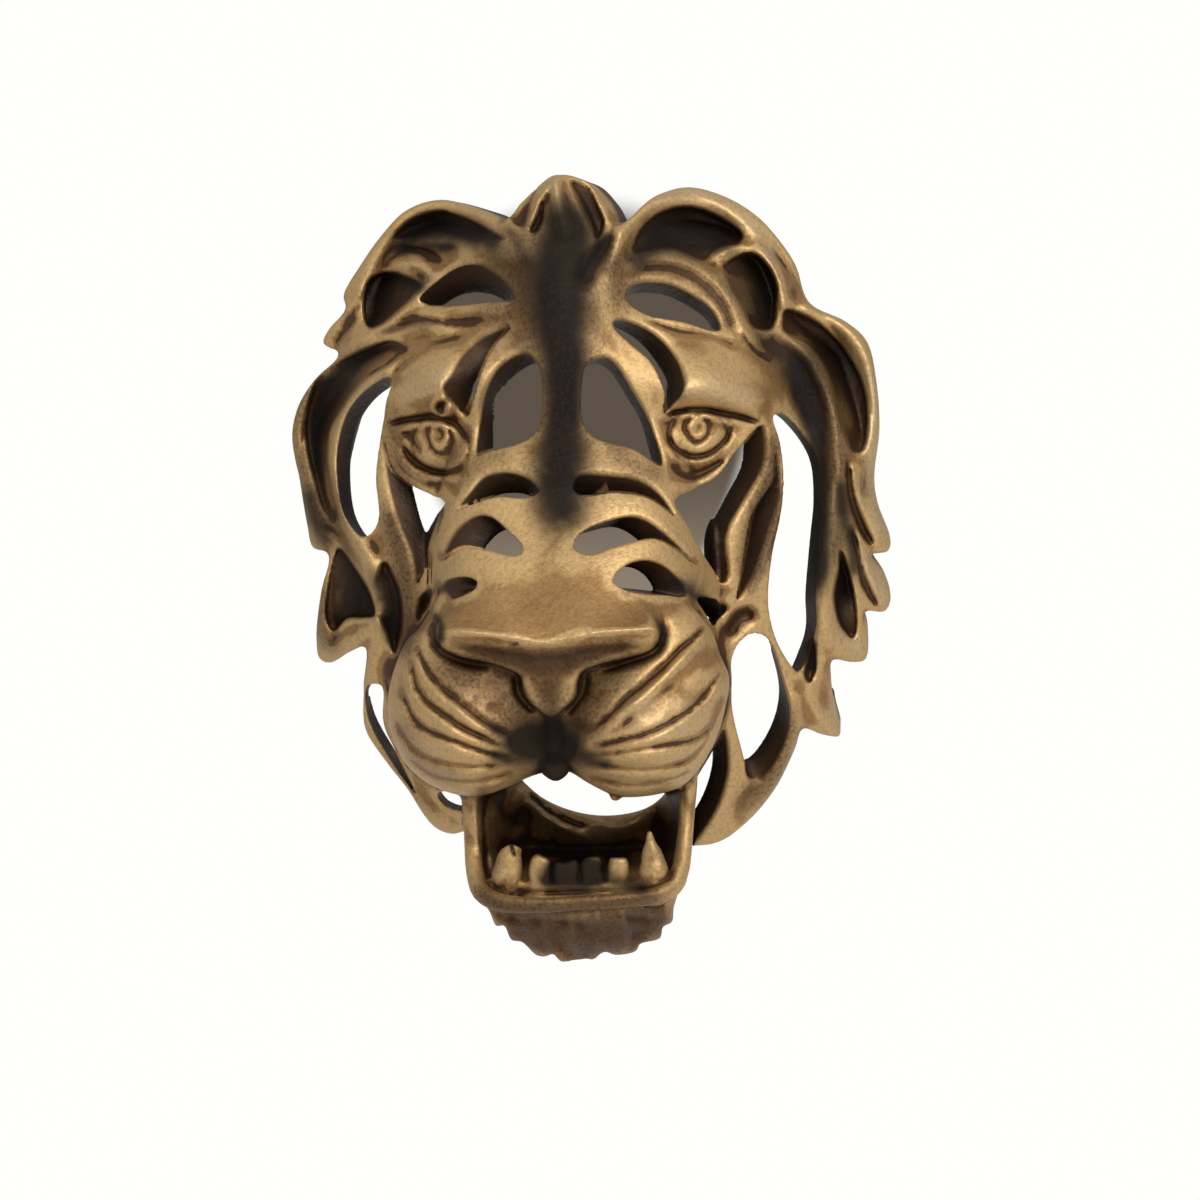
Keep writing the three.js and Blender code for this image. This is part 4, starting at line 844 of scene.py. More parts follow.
# %% A bent rod
def rod(points, radii, u, v, depth):
    """Distance to a bent rod in the drawing's space, u and v across and the depth as height."""
    best = np.full(u.shape, FAR, np.float32)
    path = curve_through(points, False, 3)
    radius_at = np.interp(np.linspace(0, 1, len(path)), np.linspace(0, 1, len(radii)), radii)
    for i in range(len(path) - 1):
        run = path[i + 1] - path[i]
        share = (u - path[i, 0]) * run[0] + (v - path[i, 1]) * run[1] + (depth - path[i, 2]) * run[2]
        share = (share / (run @ run)).clip(0, 1)
        away = (u - path[i, 0] - share * run[0]) ** 2 + (v - path[i, 1] - share * run[1]) ** 2
        away = np.sqrt(away + (depth - path[i, 2] - share * run[2]) ** 2)
        best = np.minimum(best, away - radius_at[i] - share * (radius_at[i + 1] - radius_at[i]))
    return best


# %% The jaw's field
jaw_place = window(np.array([(-52.0, -124.0), (40.0, -54.0)]), 0.0)
jaw_u, jaw_v = grid_u[jaw_place], grid_v[jaw_place]
jaw_rough = uneven(1.6, 11)[jaw_place]
bowl_tilt = tilt_of(bowl_front)[jaw_place]
jaw_tilt = tilt_of(jaw_front)[jaw_place]
for k, depth in enumerate(line_d):
    there = field[:, :, k][jaw_place]
    bowl = rounded_both((depth - bowl_front[jaw_place]) * bowl_tilt, -bowl_map[jaw_place], 1.5)
    bowl = np.maximum(bowl, (bowl_front[jaw_place] - depth) * bowl_tilt - BOWL_WALL)
    made = blended_either(there, bowl, 2.5)
    chin = rounded_both((depth - jaw_front[jaw_place]) * jaw_tilt, -jaw_map[jaw_place], 1.6)
    chin = np.maximum(chin, (jaw_front[jaw_place] - depth) * jaw_tilt - CHIN_WALL)
    made = blended_either(made, chin, 1.5)
    if LIP_DEEPEST < depth < LIP_FURTHEST:
        made = blended_either(made, rod(LIP_ROLL, LIP_RADIUS, jaw_u, jaw_v, depth), 1.2)
    if abs(depth - TEETH_DEPTH) < 8:
        stump, fang = [rod(*canine, jaw_u, jaw_v, depth) - 0.3 * jaw_rough for canine in CANINES]
        stump = rounded_both(stump, jaw_v - BROKEN_TOP + 0.5 * np.abs(jaw_u + 29.5), 0.5)
        made = blended_either(blended_either(made, stump, 0.8), fang, 0.8)
        made = blended_either(made, rod(GUM, GUM_RADIUS, jaw_u, jaw_v, depth), 1.5)
        for middle, top, half_width in INCISORS:
            slant = jaw_u - middle - 0.04 * (jaw_v - top) - 0.3 * jaw_rough
            narrowed = half_width + 0.4 - 0.05 * (jaw_v - top + 9).clip(0)
            block = rounded_both(np.abs(slant) - narrowed, abs(depth - TEETH_DEPTH) - TOOTH_HALF_DEPTH, 2.2)
            block = rounded_both(block, np.maximum(jaw_v - top - 0.6 * jaw_rough, TOOTH_BOTTOM - jaw_v), 1.8)
            made = blended_either(made, block, 0.6)
    field[:, :, k][jaw_place] = made
print("the field's least value is", round(float(field.min()), 1))

# %% [markdown]
# ## The hanging pad
#
# Behind the crown a flat pad is cast in one with the rim, with two nail holes side by side. Its back is the
# face that rests on the wall, and the middle of that face is the frame's origin. It is an upright box from
# two rounded joins, less two cylinders. The same pass trims the whole field to the height that the mask was
# measured at.

# %% The pad's field
PAD_HALF_WIDTH, PAD_HALF_HEIGHT, PAD_DEPTH = 17.0, 10.0, 8.0
NAIL_RADIUS, NAILS_FROM_MIDDLE = 2.5, 10.0
LOW_CLEARANCE, HIGH_CLEARANCE, PAD_INSIDE_OUTLINE = 0.3, 0.2, 1.5
lowest_z = cad_box[0][2] / unit + HANG_HEIGHT + LOW_CLEARANCE
highest_z = cad_box[1][2] / unit + HANG_HEIGHT - HIGH_CLEARANCE
for k, depth in enumerate(line_d):
    x, z = sighted(grid_u, grid_v, depth)
    field[:, :, k] = np.maximum(field[:, :, k], np.maximum(lowest_z - z, z - highest_z))
    if depth > PAD_DEPTH + 3:
        continue
    pad = rounded_both(np.abs(x) - PAD_HALF_WIDTH, np.abs(z - HANG_HEIGHT) - PAD_HALF_HEIGHT, 1.0)
    pad = rounded_both(pad, np.maximum(depth - PAD_DEPTH, WALL_CLEARANCE - depth), 0.8)
    nails = np.hypot(np.abs(x) - NAILS_FROM_MIDDLE, z - HANG_HEIGHT) - NAIL_RADIUS
    pad = np.maximum(pad, PAD_INSIDE_OUTLINE - silhouette_map)
    field[:, :, k] = np.maximum(blended_either(field[:, :, k], pad, 1.0), -nails)
print("the pad is", 2 * PAD_HALF_WIDTH, "by", 2 * PAD_HALF_HEIGHT, "units")

# %% [markdown]
# ## Drawing the surface
#
# The surface is where the field is nought. The mesher walks the box and joins those places into small
# squares. Their corners are then carried along the sight lines to where they stand in space, and a collapse
# leaves triangles where the form bends and takes them from where it is flat. Where the field only just
# touches nought, the mesher leaves specks of a few corners inside the form. Only the largest body is kept,
# as a casting is one body.

# %% The mesh
BAND = 2.5
volume = openvdb.FloatGrid(BAND)
volume.copyFromArray(np.clip(field, -BAND, BAND))
corners, _, squares = volume.convertToPolygons(isovalue=0.0, adaptivity=0.0)
mesh_u = low_u + STEP * corners[:, 0]
mesh_v = low_v + STEP * corners[:, 1]
mesh_d = line_d[0] + STEP * corners[:, 2]
mesh_x, mesh_z = sighted(mesh_u, mesh_v, mesh_d)
places = np.stack([mesh_x, -mesh_d, mesh_z - HANG_HEIGHT], 1) * unit
print(len(places), "corners and", len(squares), "squares")


def new_mesh(name, places, faces):
    """A mesh object from an array of places and an array of faces with the same number of corners each."""
    mesh = bpy.data.meshes.new(name)
    mesh.vertices.add(len(places))
    mesh.vertices.foreach_set("co", places.astype(np.float32).ravel())
    sides = faces.shape[1]
    mesh.loops.add(faces.size)
    mesh.loops.foreach_set("vertex_index", faces.astype(np.int32).ravel())
    mesh.polygons.add(len(faces))
    mesh.polygons.foreach_set("loop_start", np.arange(len(faces), dtype=np.int32) * sides)
    mesh.update(calc_edges=True)
    made = bpy.data.objects.new(name, mesh)
    bpy.context.scene.collection.objects.link(made)
    return made


def finished(piece):
    """The piece with its modifiers applied to its mesh."""
    seen = piece.evaluated_get(bpy.context.evaluated_depsgraph_get())
    mesh = bpy.data.meshes.new_from_object(seen)
    piece.modifiers.clear()
    piece.data = mesh
    return piece


MOST_TRIANGLES = 188000
mask = new_mesh("lion_mask_casting", places, squares)
thin = mask.modifiers.new("thin", "DECIMATE")
thin.ratio = min(1.0, MOST_TRIANGLES / (2 * len(squares)))
thin.use_collapse_triangulate = True
mask = finished(mask)


# %% Which body each corner belongs to
def edge_ends(mesh):
    """The two corner numbers of each edge."""
    ends = np.empty(2 * len(mesh.edges), np.int32)
    mesh.edges.foreach_get("vertices", ends)
    return ends.reshape(-1, 2).T


def body_of_each(mesh):
    """A number for each corner that is one body's own: the least that its edges can carry to it."""
    first, second = edge_ends(mesh)
    body = np.arange(len(mesh.vertices))
    while True:
        least = np.minimum(body[first], body[second])
        carried = body.copy()
        np.minimum.at(carried, first, least)
        np.minimum.at(carried, second, least)
        carried = carried[carried]
        if (carried == body).all():
            return body
        body = carried


def triangles_of(mesh):
    """The three corner numbers of each triangle."""
    ends = np.empty(len(mesh.loops), np.int32)
    mesh.loops.foreach_get("vertex_index", ends)
    return ends.reshape(-1, 3)


def places_of(mesh):
    """The place of each corner of a mesh."""
    places = np.empty(3 * len(mesh.vertices), np.float32)
    mesh.vertices.foreach_get("co", places)
    return places.reshape(-1, 3)


# %% The one body
body = body_of_each(mask.data)
sizes = np.bincount(body)
kept = body == sizes.argmax()
print(int((sizes > 0).sum()) - 1, "specks are dropped, with", int((~kept).sum()), "corners together")
triangles = triangles_of(mask.data)
triangles = triangles[kept[triangles].all(1)]
fresh = np.cumsum(kept) - 1
one_body = new_mesh("lion_mask_casting_kept", places_of(mask.data)[kept], fresh[triangles])
bpy.data.objects.remove(mask)
one_body.name = "lion_mask_casting"
mask = one_body
mask.data.shade_smooth()
print("the mask has", len(mask.data.polygons), "faces")
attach(mask, "root")
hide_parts("lion_mask")

# %% [markdown]
# ## What the paint needs to know of the form
#
# A bronze finish is rubbed on by hand: the ridges are polished bright, and the brown glaze stays in the
# cuts and on the walls of the openings. Light and shade are painted into the colour as well: painted
# highlights on the ridges and where the light falls brightest, and painted shade in the creases, under the
# downward faces, on the walls of the openings and on the floors of the hollows. A painter would brush this
# on the mesh. Here the brush marks are strokes on the drawing, as the locks are, and the mesh carries seven
# numbers at each corner. Three say how much black patina, how much brown glaze with painted shade and how
# much pale gold for painted highlights was dabbed there. Three more say how much painted shade lies on a
# hollow's floor and deep below the face, how deep the corner lies below the face and how far inside an
# opening. The last says how much the surface swells or folds, which sets the painted highlight on the
# ridges and the painted shade in the creases.

# %% Black patina
BLACK = (
    (((-13, 131), (-11, 124), (-12, 112), (-13, 98), (-12, 82), (-12, 60), (-13, 44), (-13, 32), (-14, 18)),
     (6, 12, 14, 12, 9, 7.5, 10, 11, 8), 1.1),
    (((3, 124), (-2, 114), (-8, 104)), (4, 5, 6), 0.9),
    (((-31, 125), (-27, 118), (-22, 110)), (2, 3, 5), 0.7),
    (((-75, 10), (-71, 0), (-70, -14)), (4, 5, 4), 0.8),
    (((70.5, -13), (70, -24)), (2, 2), 1.1),
    (((-53.6, 64.6), (-52.4, 65.2)), (1.3, 1.3), 1.0),
    (((43, -10), (46, -6)), (2.5, 2.5), 0.5),
    (((-70, 116), (-58, 122), (-44, 122), (-32, 118)), (5, 6, 4), 0.95),
    (((-78, 104), (-70, 98), (-62, 103)), (4, 4, 3), 0.5),
    (((9, 110), (20, 119), (34, 119), (44, 120)), (5, 7, 5), 0.9),
    (((40, 110), (50, 100), (56, 88), (64, 76)), (5, 7, 8), 0.6),
    (((62, 84), (69, 68), (72.5, 48), (73.5, 24), (72, -6)), (8, 7, 5, 4.5, 4), 1.05),
    (((-98, 38), (-94, 26), (-90, 17)), (4, 5, 4), 0.8),
    (((22, 7), (28, 4.5), (33, 1), (38, -4)), (2.5, 3, 3, 3), 0.85),
    (((-68, 84), (-80, 81), (-91, 71), (-95, 55), (-92, 36)), (3, 4, 3.5, 3), 0.8),
    (((-86, 44), (-87, 34), (-86, 20), (-80, 4)), (4, 4, 4), 0.5),
    (((-28, -47), (-22, -47.5), (-16, -48), (-10, -50)), (6, 8, 8, 5.5), 1.45),
    (((-16, -41), (-16, -49), (-16, -57)), (5, 7, 7), 1.4),
    (((-20, -45), (-29, -45), (-38, -42)), (5, 4.5, 2.5), 0.7),
    (((-18, -52), (-28, -53), (-38, -51.5)), (5, 4, 2.5), 0.8),
    (((-12, -50), (-4, -53), (5, -55)), (5, 4, 2), 0.8),
    (((-14, -43), (-8, -42), (-2, -42)), (4, 3.5, 2), 0.6),
    (((-18, -57), (-13, -57)), (5, 5), 1.5),
    (((-19, -93), (-13, -91), (-6, -91), (0, -91)), (3.5, 5.5, 6.5, 5), 1.5),
    (((-24, -83), (-8, -84), (10, -83)), (3, 4, 3), 0.9),
    (((80, 42), (81, 30), (84, 18), (85, 6)), (2, 3, 3, 2.5), 0.8),
    (((-30, -91), (-31, -95)), (2.2, 2.2), 0.4),
    (((-64, 121), (-56, 118), (-46, 118)), (2.5, 3, 2.5), 0.9),
    (((-72, 108), (-64, 105.5), (-58, 104)), (2.5, 3, 2.5), 0.9),
    (((-76, 88), (-66, 91), (-54, 92)), (1.5, 2, 1.5), 0.6),
    (((2, -93), (10, -95), (16, -97)), (3, 3, 3), 0.8),
    (((-30, -80), (-28.3, -86)), (0.8, 0.8), 1.3),
    (((-56, -4), (-53, -9), (-55, -17)), (2, 2.2, 2), 0.9),
    (((19, -6), (21, -12), (18, -17)), (1.6, 2, 1.8), 0.9),
)

# %% Brown glaze and painted shade
# Brown strokes are partly the glaze of the finish and partly painted shade: under the nose and on its
# downward front, on the lip and beard, and on the left side that the light reaches less.
GLAZE_AND_SHADE_STROKES = (
    (((-50, -15.5), (-34, -18), (-18, -22), (0, -17), (14, -14.5)), (2.5, 4, 6, 4, 2.5), 1.05),
    (((-17, -22), (-17, -30), (-16, -38)), (7, 7, 5), 0.85),
    (((-52, -21), (-42, -26), (-34, -32), (-26, -42)), (6, 11, 11), 0.8),
    (((14, -19), (5, -25), (-4, -34), (-9, -46)), (6, 9, 9), 0.75),
    (((-68, -38), (-60, -53), (-44, -62)), (4, 5, 5), 0.45),
    (((-42, -94), (-36, -101), (-22, -103), (-6, -102), (12, -100), (24, -96)), (5, 5, 5, 5), 0.85),
    (((-34, -106), (-20, -111), (-5, -113), (10, -110), (23, -104)), (9, 12, 9), 0.95),
    (((-40, -60), (-37, -76), (-35, -92)), (3, 4, 4), 0.6),
    (((22, -60), (22, -76), (22, -90)), (5, 6, 5), 0.5),
    (((-26, -62), (-14, -74), (0, -77), (14, -73), (20, -64)), (7, 8, 7), 0.35),
    (((-70, 66), (-66, 40), (-60, 14)), (5, 6, 5), 0.6),
    (((-44, 86), (-34, 82), (-30, 66), (-34, 48)), (4, 4, 4, 4), 0.35),
    (((0, 86), (4, 66), (8, 47), (22, 40)), (4, 5, 7, 4), 0.6),
    (((-56, -20), (-44, -30), (-34, -34)), (6, 8, 6), 0.6),
    (((60, 84), (66, 78), (70, 66)), (6, 7, 6), 0.7),
    (((18, 112), (30, 108), (40, 100), (44, 90)), (6, 7, 6), 0.5),
    (((4, 96), (8, 104), (6, 114)), (7, 8, 7), 0.6),
    (((-72, 34), (-66, 12), (-64, -6), (-66, -20)), (5, 6, 5), 0.75),
    (((56, 57), (57, 44), (52, 28), (47, 4)), (5, 5, 4), 0.8),
    (((61, 45), (57, 20), (48, 0)), (2, 3, 2), 0.9),
    (((-34, 112), (-22, 104), (-14, 92), (-12, 72), (-13, 50), (-14, 26)), (14, 20, 18, 13, 13, 10), 0.85),
    (((-20, 14), (-18, -4)), (20, 22), 0.22),
    (((-47, 38), (-40, 46), (-28, 48)), (4, 5, 5), 0.45),
    (((-36, 96), (-30, 90), (-24, 84), (-18, 76)), (5, 6, 5), 0.6),
    (((0, 118), (6, 108), (6, 98)), (6, 6, 6), 0.7),
    (((-92, 78), (-98, 62), (-97, 42), (-92, 22)), (6, 6, 5), 0.6),
    (((66, 88), (74, 74), (79, 52), (79, 30), (77, 6)), (6, 6, 5, 5), 0.7),
    (((-92, 6), (-93, -8), (-88, -17)), (5, 5, 4), 0.6),
    (((-44, 58), (-48, 48), (-58, 42), (-66, 50)), (4, 4, 4), 0.5),
    (((24, 55), (32, 46), (44, 52)), (3, 3, 3), 0.4),
    (((-76, -34), (-66, -60), (-50, -74)), (4, 4, 4), 0.35),
    (((46, -70), (58, -56), (63, -34)), (5, 5, 5), 0.7),
)

# %% Pale gold painted highlights
# Pale gold strokes are painted highlights, laid where the light falls brightest and on the strap in the
# mouth, which the light barely reaches.
HIGHLIGHT_STROKES = (
    (((84, 84), (91, 66), (91, 48), (93, 30), (95, 19)), (3.5, 3.5, 4, 4), 0.9),
    (((88, 14), (93, 6), (94, 0)), (3.5, 4, 3), 0.9),
    (((82, -12), (87, -16)), (4, 4), 0.8),
    (((78, -34), (79, -43)), (3, 3), 0.6),
    (((26, 70), (38, 70), (52, 67)), (4, 6, 4), 0.7),
    (((14, 132), (28, 135.5), (40, 133), (52, 124), (62, 108)), (2.5, 3, 3, 3), 0.7),
    (((-66, 70), (-56, 72), (-48, 78)), (4, 6, 4), 0.5),
    (((10, -34), (22, -42), (30, -38)), (8, 10, 8), 0.5),
    (((-16, 139), (-15, 135)), (1.5, 2), 0.8),
    (((-51.4, 63.9), (-50.6, 63.9)), (1.1, 1.1), 1.0),
    (((-24, -66), (-15, -73), (-4, -77.5), (8, -76)), (3, 4, 3), 0.7),
)


# %% The brush marks on the drawing
def painted(strokes):
    """The strongest of some strokes at each place."""
    return np.maximum.reduce([stroke(points, widths, strength) for points, widths, strength in strokes])


# Maps of the black patina, of the brown glaze with painted shade, and of the painted highlights.
black_map, glaze_and_shade_map, highlight_map = painted(BLACK), painted(GLAZE_AND_SHADE_STROKES), painted(HIGHLIGHT_STROKES)


# %% How much each corner bulges
def corner_normals(mesh):
    """The unit normal at each corner of a mesh."""
    normals = np.empty(3 * len(mesh.vertices), np.float32)
    mesh.vertex_normals.foreach_get("vector", normals)
    return normals.reshape(-1, 3)


def bulge_of(mesh, rounds):
    """How far each corner stands proud of the mean of its neighbours along its normal, then evened out."""
    places = places_of(mesh)
    first, second = edge_ends(mesh)
    count = np.bincount(np.concatenate([first, second]), minlength=len(places))[:, None]

    def mean_of(values):
        total = np.zeros_like(values)
        np.add.at(total, first, values[second])
        np.add.at(total, second, values[first])
        return total / count

    spread = mean_of(places)
    bulge = ((places - spread) * corner_normals(mesh)).sum(1)[:, None]
    for _ in range(rounds):
        bulge = 0.5 * bulge + 0.5 * mean_of(bulge)
    return bulge[:, 0]


def keep_on(mesh, name, values):
    """Stores one number at each corner under a name that the material reads."""
    held = mesh.attributes.new(name, "FLOAT", "POINT")
    held.data.foreach_set("value", values.astype(np.float32))


# %% How deep each corner lies, and the painted shade in the depths
FLOOR_SHADE, FLOOR_FALL, DEPTH_SHADE = 0.95, 9.0, 0.75
places = places_of(mask.data)
seen_u, seen_v = projected(places[:, 0] / unit, places[:, 1] / unit, places[:, 2] / unit + HANG_HEIGHT)
depth = -places[:, 1] / unit
face_top = np.maximum(head_front + hollow_fall, np.where(muzzle_map > 0, smooth_muzzle - rounding, 0))
face_top = np.maximum(face_top, np.where(nose_map > 0, nose_front, 0))
face_top = np.maximum(face_top, np.where(jaw_map > 0, jaw_front, 0))
face_top = np.where((bowl_map > -1) & (muzzle_map < 0) & (jaw_map < 0), bowl_front, face_top)
below_top = looked_up(face_top, seen_u, seen_v) - depth
in_opening = looked_up(opening_map, seen_u, seen_v).clip(-3, 3)
# Painted shade: a hollow's floor darkens as it falls, and any corner far below the face darkens too.
floor_shade = FLOOR_SHADE * ease(0.2, 1.0, looked_up(hollow_fall, seen_u, seen_v) / FLOOR_FALL)
floor_shade = floor_shade * ease(24, 12, below_top)
sunk_shade = np.maximum(floor_shade, DEPTH_SHADE * ease(5, 24, below_top))

# %% The seven numbers
FULL_BULGE = 0.045
BEARD_TOP = -103.0
bulge = bulge_of(mask.data, 5) / (FULL_BULGE * unit)
# On the beard, the painted highlight on the swellings and the painted shade in the folds are both halved.
bulge[seen_v < BEARD_TOP] *= 0.5
keep_on(mask.data, "patina", looked_up(black_map, seen_u, seen_v) * ease(24, 10, below_top))
# The next three numbers are brown glaze with painted shade, painted highlights in pale gold, and painted
# shade in the depths.
keep_on(mask.data, "glaze_and_shade", looked_up(glaze_and_shade_map, seen_u, seen_v))
keep_on(mask.data, "painted_highlight", looked_up(highlight_map, seen_u, seen_v))
keep_on(mask.data, "sunk_shade", sunk_shade)
keep_on(mask.data, "below", below_top.clip(-3, 40))
keep_on(mask.data, "opening", in_opening)
keep_on(mask.data, "bulge", (0.5 + 0.5 * bulge).clip(0, 1))
low_bulge, high_bulge = np.quantile(bulge, (0.05, 0.95))
print("the bulge runs from", round(float(low_bulge), 2), "to", round(float(high_bulge), 2))

# %% [markdown]
# ## The bronze paint
#
# The finish is a lacquer with fine metal flakes over a dark ground. The colours are laid by the numbers on
# the mesh, in the order of the real work: bronze on the face, paler gold on the ridges, which is partly
# rubbed wear and partly a painted highlight, and pale gold dabs that are painted highlights. Brown glaze
# with painted shade goes in the creases and under the downward faces, dark brown with painted shade that
# deepens further in goes on the walls of the openings and the floors of the hollows, and black smoke lies
# over all with an uneven edge. Fine brown specks lie thickest where the glaze and painted shade do. A fine
# grain in the bump breaks the highlights, as cast resin under paint does. The walls' colour is worked out
# in the shader from two smooth numbers, because a share stored on long triangles would blur.

# %% Shader helpers
def linear(red, green, blue):
    """A screen colour from 0 to 255 as the linear colour that shaders take."""
    share = np.array([red, green, blue]) / 255
    low = share <= 0.04045
    return (*np.where(low, share / 12.92, ((share + 0.055) / 1.055) ** 2.4), 1.0)


def material(name):
    """An empty node material with its output."""
    made = bpy.data.materials.new(name)
    made.use_nodes = True
    made.node_tree.nodes.clear()
    return made


def node(tree, kind, inputs=None, **settings):
    """A node of a kind, with its settings, and each input set to a value or joined to an output."""
    made = tree.nodes.new(kind)
    for key, value in settings.items():
        setattr(made, key, value)
    for key, value in (inputs or {}).items():
        if isinstance(value, bpy.types.NodeSocket):
            tree.links.new(value, made.inputs[key])
        else:
            made.inputs[key].default_value = value
    return made


def share_of(tree, value, low, high, top=1.0):
    """A smooth step of a value between two limits, as a node."""
    return node(tree, "ShaderNodeMapRange", {"Value": value, 1: low, 2: high, 3: 0.0, 4: top},
                interpolation_type="SMOOTHSTEP").outputs[0]


def mixed(tree, share, first, second):
    """Two colours mixed by a share."""
    made = node(tree, "ShaderNodeMix", data_type="RGBA")
    for key, value in ((0, share), (6, first), (7, second)):
        if isinstance(value, bpy.types.NodeSocket):
            tree.links.new(value, made.inputs[key])
        else:
            made.inputs[key].default_value = value
    return made.outputs[2]


def noise(tree, where, scale, detail=3.0, roughness=0.55):
    """A noise pattern on a place, its scale in waves a metre."""
    inputs = {"Vector": where, "Scale": scale, "Detail": detail, "Roughness": roughness}
    return node(tree, "ShaderNodeTexNoise", inputs).outputs[0]


def sum_of(tree, first, second, operation="ADD"):
    """Arithmetic on two numbers."""
    return node(tree, "ShaderNodeMath", {0: first, 1: second}, operation=operation).outputs[0]


# %% The paint's colours
BRONZE, LIGHT_BRONZE = linear(148, 112, 68), linear(158, 122, 76)
# Rubbed gold is partly rubbed wear and partly a painted highlight on the ridges, and the pale gold is a
# painted highlight.
RUBBED_AND_HIGHLIGHT_GOLD, HIGHLIGHT_GOLD = linear(200, 166, 114), linear(202, 174, 132)
# The glaze browns carry painted shade as well as glaze.
GLAZE_AND_SHADE_BROWN, CREASE_GLAZE_AND_SHADE = linear(72, 46, 25), linear(66, 44, 26)
# The walls' own brown carries painted shade, and the deep one is painted shade that darkens the walls
# further in.
WALL_BROWN_AND_SHADE, DEEP_WALL_SHADE = linear(62, 43, 27), linear(32, 22, 15)
SMOKE_BLACK, SPECK_BROWN = linear(21, 18, 15), linear(52, 35, 21)
METAL_SHARE = 0.72
LEAST_ROUGH, MOST_ROUGH, SMOKE_ROUGHER = 0.46, 0.58, 0.25
GRAIN_HEIGHT = 0.0004

# %% The numbers and the noises
bronze = material("bronze_paint")
tree = bronze.node_tree
on_mask = node(tree, "ShaderNodeTexCoord").outputs["Object"]


def stored(tree, name):
    """The number that the mesh carries under a name, as a node."""
    return node(tree, "ShaderNodeAttribute", attribute_name=name).outputs["Fac"]


# Black patina, brown glaze with painted shade, and painted highlights.
patina_at, glaze_and_shade_at, painted_highlight_at = [stored(tree, name) for name in ("patina", "glaze_and_shade", "painted_highlight")]
bulge_at, below_at = stored(tree, "bulge"), stored(tree, "below")
in_hole = share_of(tree, stored(tree, "opening"), -0.6, 0.5)
# The walls of the openings and the sunk corners take painted shade.
walls = sum_of(tree, in_hole, share_of(tree, below_at, 0.3, 2.8), "MULTIPLY")
sunk_and_wall_shade = sum_of(tree, stored(tree, "sunk_shade"), walls, "MAXIMUM")
mottle = noise(tree, on_mask, 90.0, 4.0)
speckle = noise(tree, on_mask, 900.0, 3.0)
grain = noise(tree, on_mask, 1500.0, 2.0)
cloud = sum_of(tree, mottle, 0.5, "SUBTRACT")

# %% The layers of colour
face_colour = mixed(tree, share_of(tree, mottle, 0.35, 0.65), BRONZE, LIGHT_BRONZE)
# Paler gold on swelling ridges: partly rubbed wear, partly a painted highlight.
face_colour = mixed(tree, share_of(tree, bulge_at, 0.56, 0.92, 0.85), face_colour, RUBBED_AND_HIGHLIGHT_GOLD)
# Pale gold dabs are painted highlights.
face_colour = mixed(tree, share_of(tree, painted_highlight_at, 0.0, 1.0, 0.85), face_colour, HIGHLIGHT_GOLD)
# Brown glaze and painted shade.
glaze_and_shade_amount = sum_of(tree, glaze_and_shade_at, sum_of(tree, cloud, 0.12, "MULTIPLY"))
face_colour = mixed(tree, share_of(tree, glaze_and_shade_amount, 0.02, 1.0, 0.92), face_colour, GLAZE_AND_SHADE_BROWN)
# Darker brown in the creases: glaze and painted shade.
face_colour = mixed(tree, share_of(tree, bulge_at, 0.42, 0.12, 0.9), face_colour, CREASE_GLAZE_AND_SHADE)
# The walls' brown, with painted shade that grows darker deeper in, laid over the walls and the sunk corners.
wall_brown_and_shade = mixed(tree, share_of(tree, below_at, 2.0, 11.0), WALL_BROWN_AND_SHADE, DEEP_WALL_SHADE)
face_colour = mixed(tree, share_of(tree, sunk_and_wall_shade, 0.02, 0.9), face_colour, wall_brown_and_shade)
smoked = sum_of(tree, patina_at, sum_of(tree, cloud, 0.45, "MULTIPLY"))
face_colour = mixed(tree, share_of(tree, smoked, 0.05, 1.0, 0.96), face_colour, SMOKE_BLACK)
# Brown specks lie thickest where the glaze and painted shade lie.
most_specks = sum_of(tree, share_of(tree, glaze_and_shade_amount, 0.1, 0.9, 0.4), 0.22)
specks = sum_of(tree, share_of(tree, speckle, 0.44, 0.68), most_specks, "MULTIPLY")
face_colour = mixed(tree, specks, face_colour, SPECK_BROWN)

# %% The gloss and the grain
height = sum_of(tree, sum_of(tree, grain, 0.4, "MULTIPLY"), noise(tree, on_mask, 420.0, 2.0))
grained = {"Height": height, "Distance": GRAIN_HEIGHT, "Strength": 0.6}
bump = node(tree, "ShaderNodeBump", grained).outputs[0]
uneven_gloss = {"Value": mottle, 1: 0.3, 2: 0.7, 3: LEAST_ROUGH, 4: MOST_ROUGH}
rough = node(tree, "ShaderNodeMapRange", uneven_gloss).outputs[0]
rough = sum_of(tree, rough, share_of(tree, smoked, 0.1, 1.0, SMOKE_ROUGHER))
paint = {"Base Color": face_colour, "Roughness": rough, "Normal": bump, "Metallic": METAL_SHARE}
shader = node(tree, "ShaderNodeBsdfPrincipled", paint)
node(tree, "ShaderNodeOutputMaterial", {"Surface": shader.outputs[0]})
mask.data.materials.clear()
mask.data.materials.append(bronze)
print("the paint has", len(tree.nodes), "nodes")

# %% [markdown]
# ## The camera
#
# The camera stands where the sight lines meet, and its lens covers the 400 units that the picture is wide.

# %% The camera
PICTURE_WIDTH = 400.0
SENSOR = 36.0
camera_data = bpy.data.cameras.new("camera")
camera_data.sensor_width = SENSOR
camera_data.lens = SENSOR * VIEW_DISTANCE / PICTURE_WIDTH
camera = bpy.data.objects.new("camera", camera_data)
bpy.context.scene.collection.objects.link(camera)
turn = np.eye(4)
turn[:3, 0], turn[:3, 1], turn[:3, 2] = view_right, view_up, -view_forward
turn[:3, 3] = (viewpoint - (0, 0, HANG_HEIGHT)) * unit
camera.matrix_world = Matrix(turn.tolist())
bpy.context.scene.camera = camera

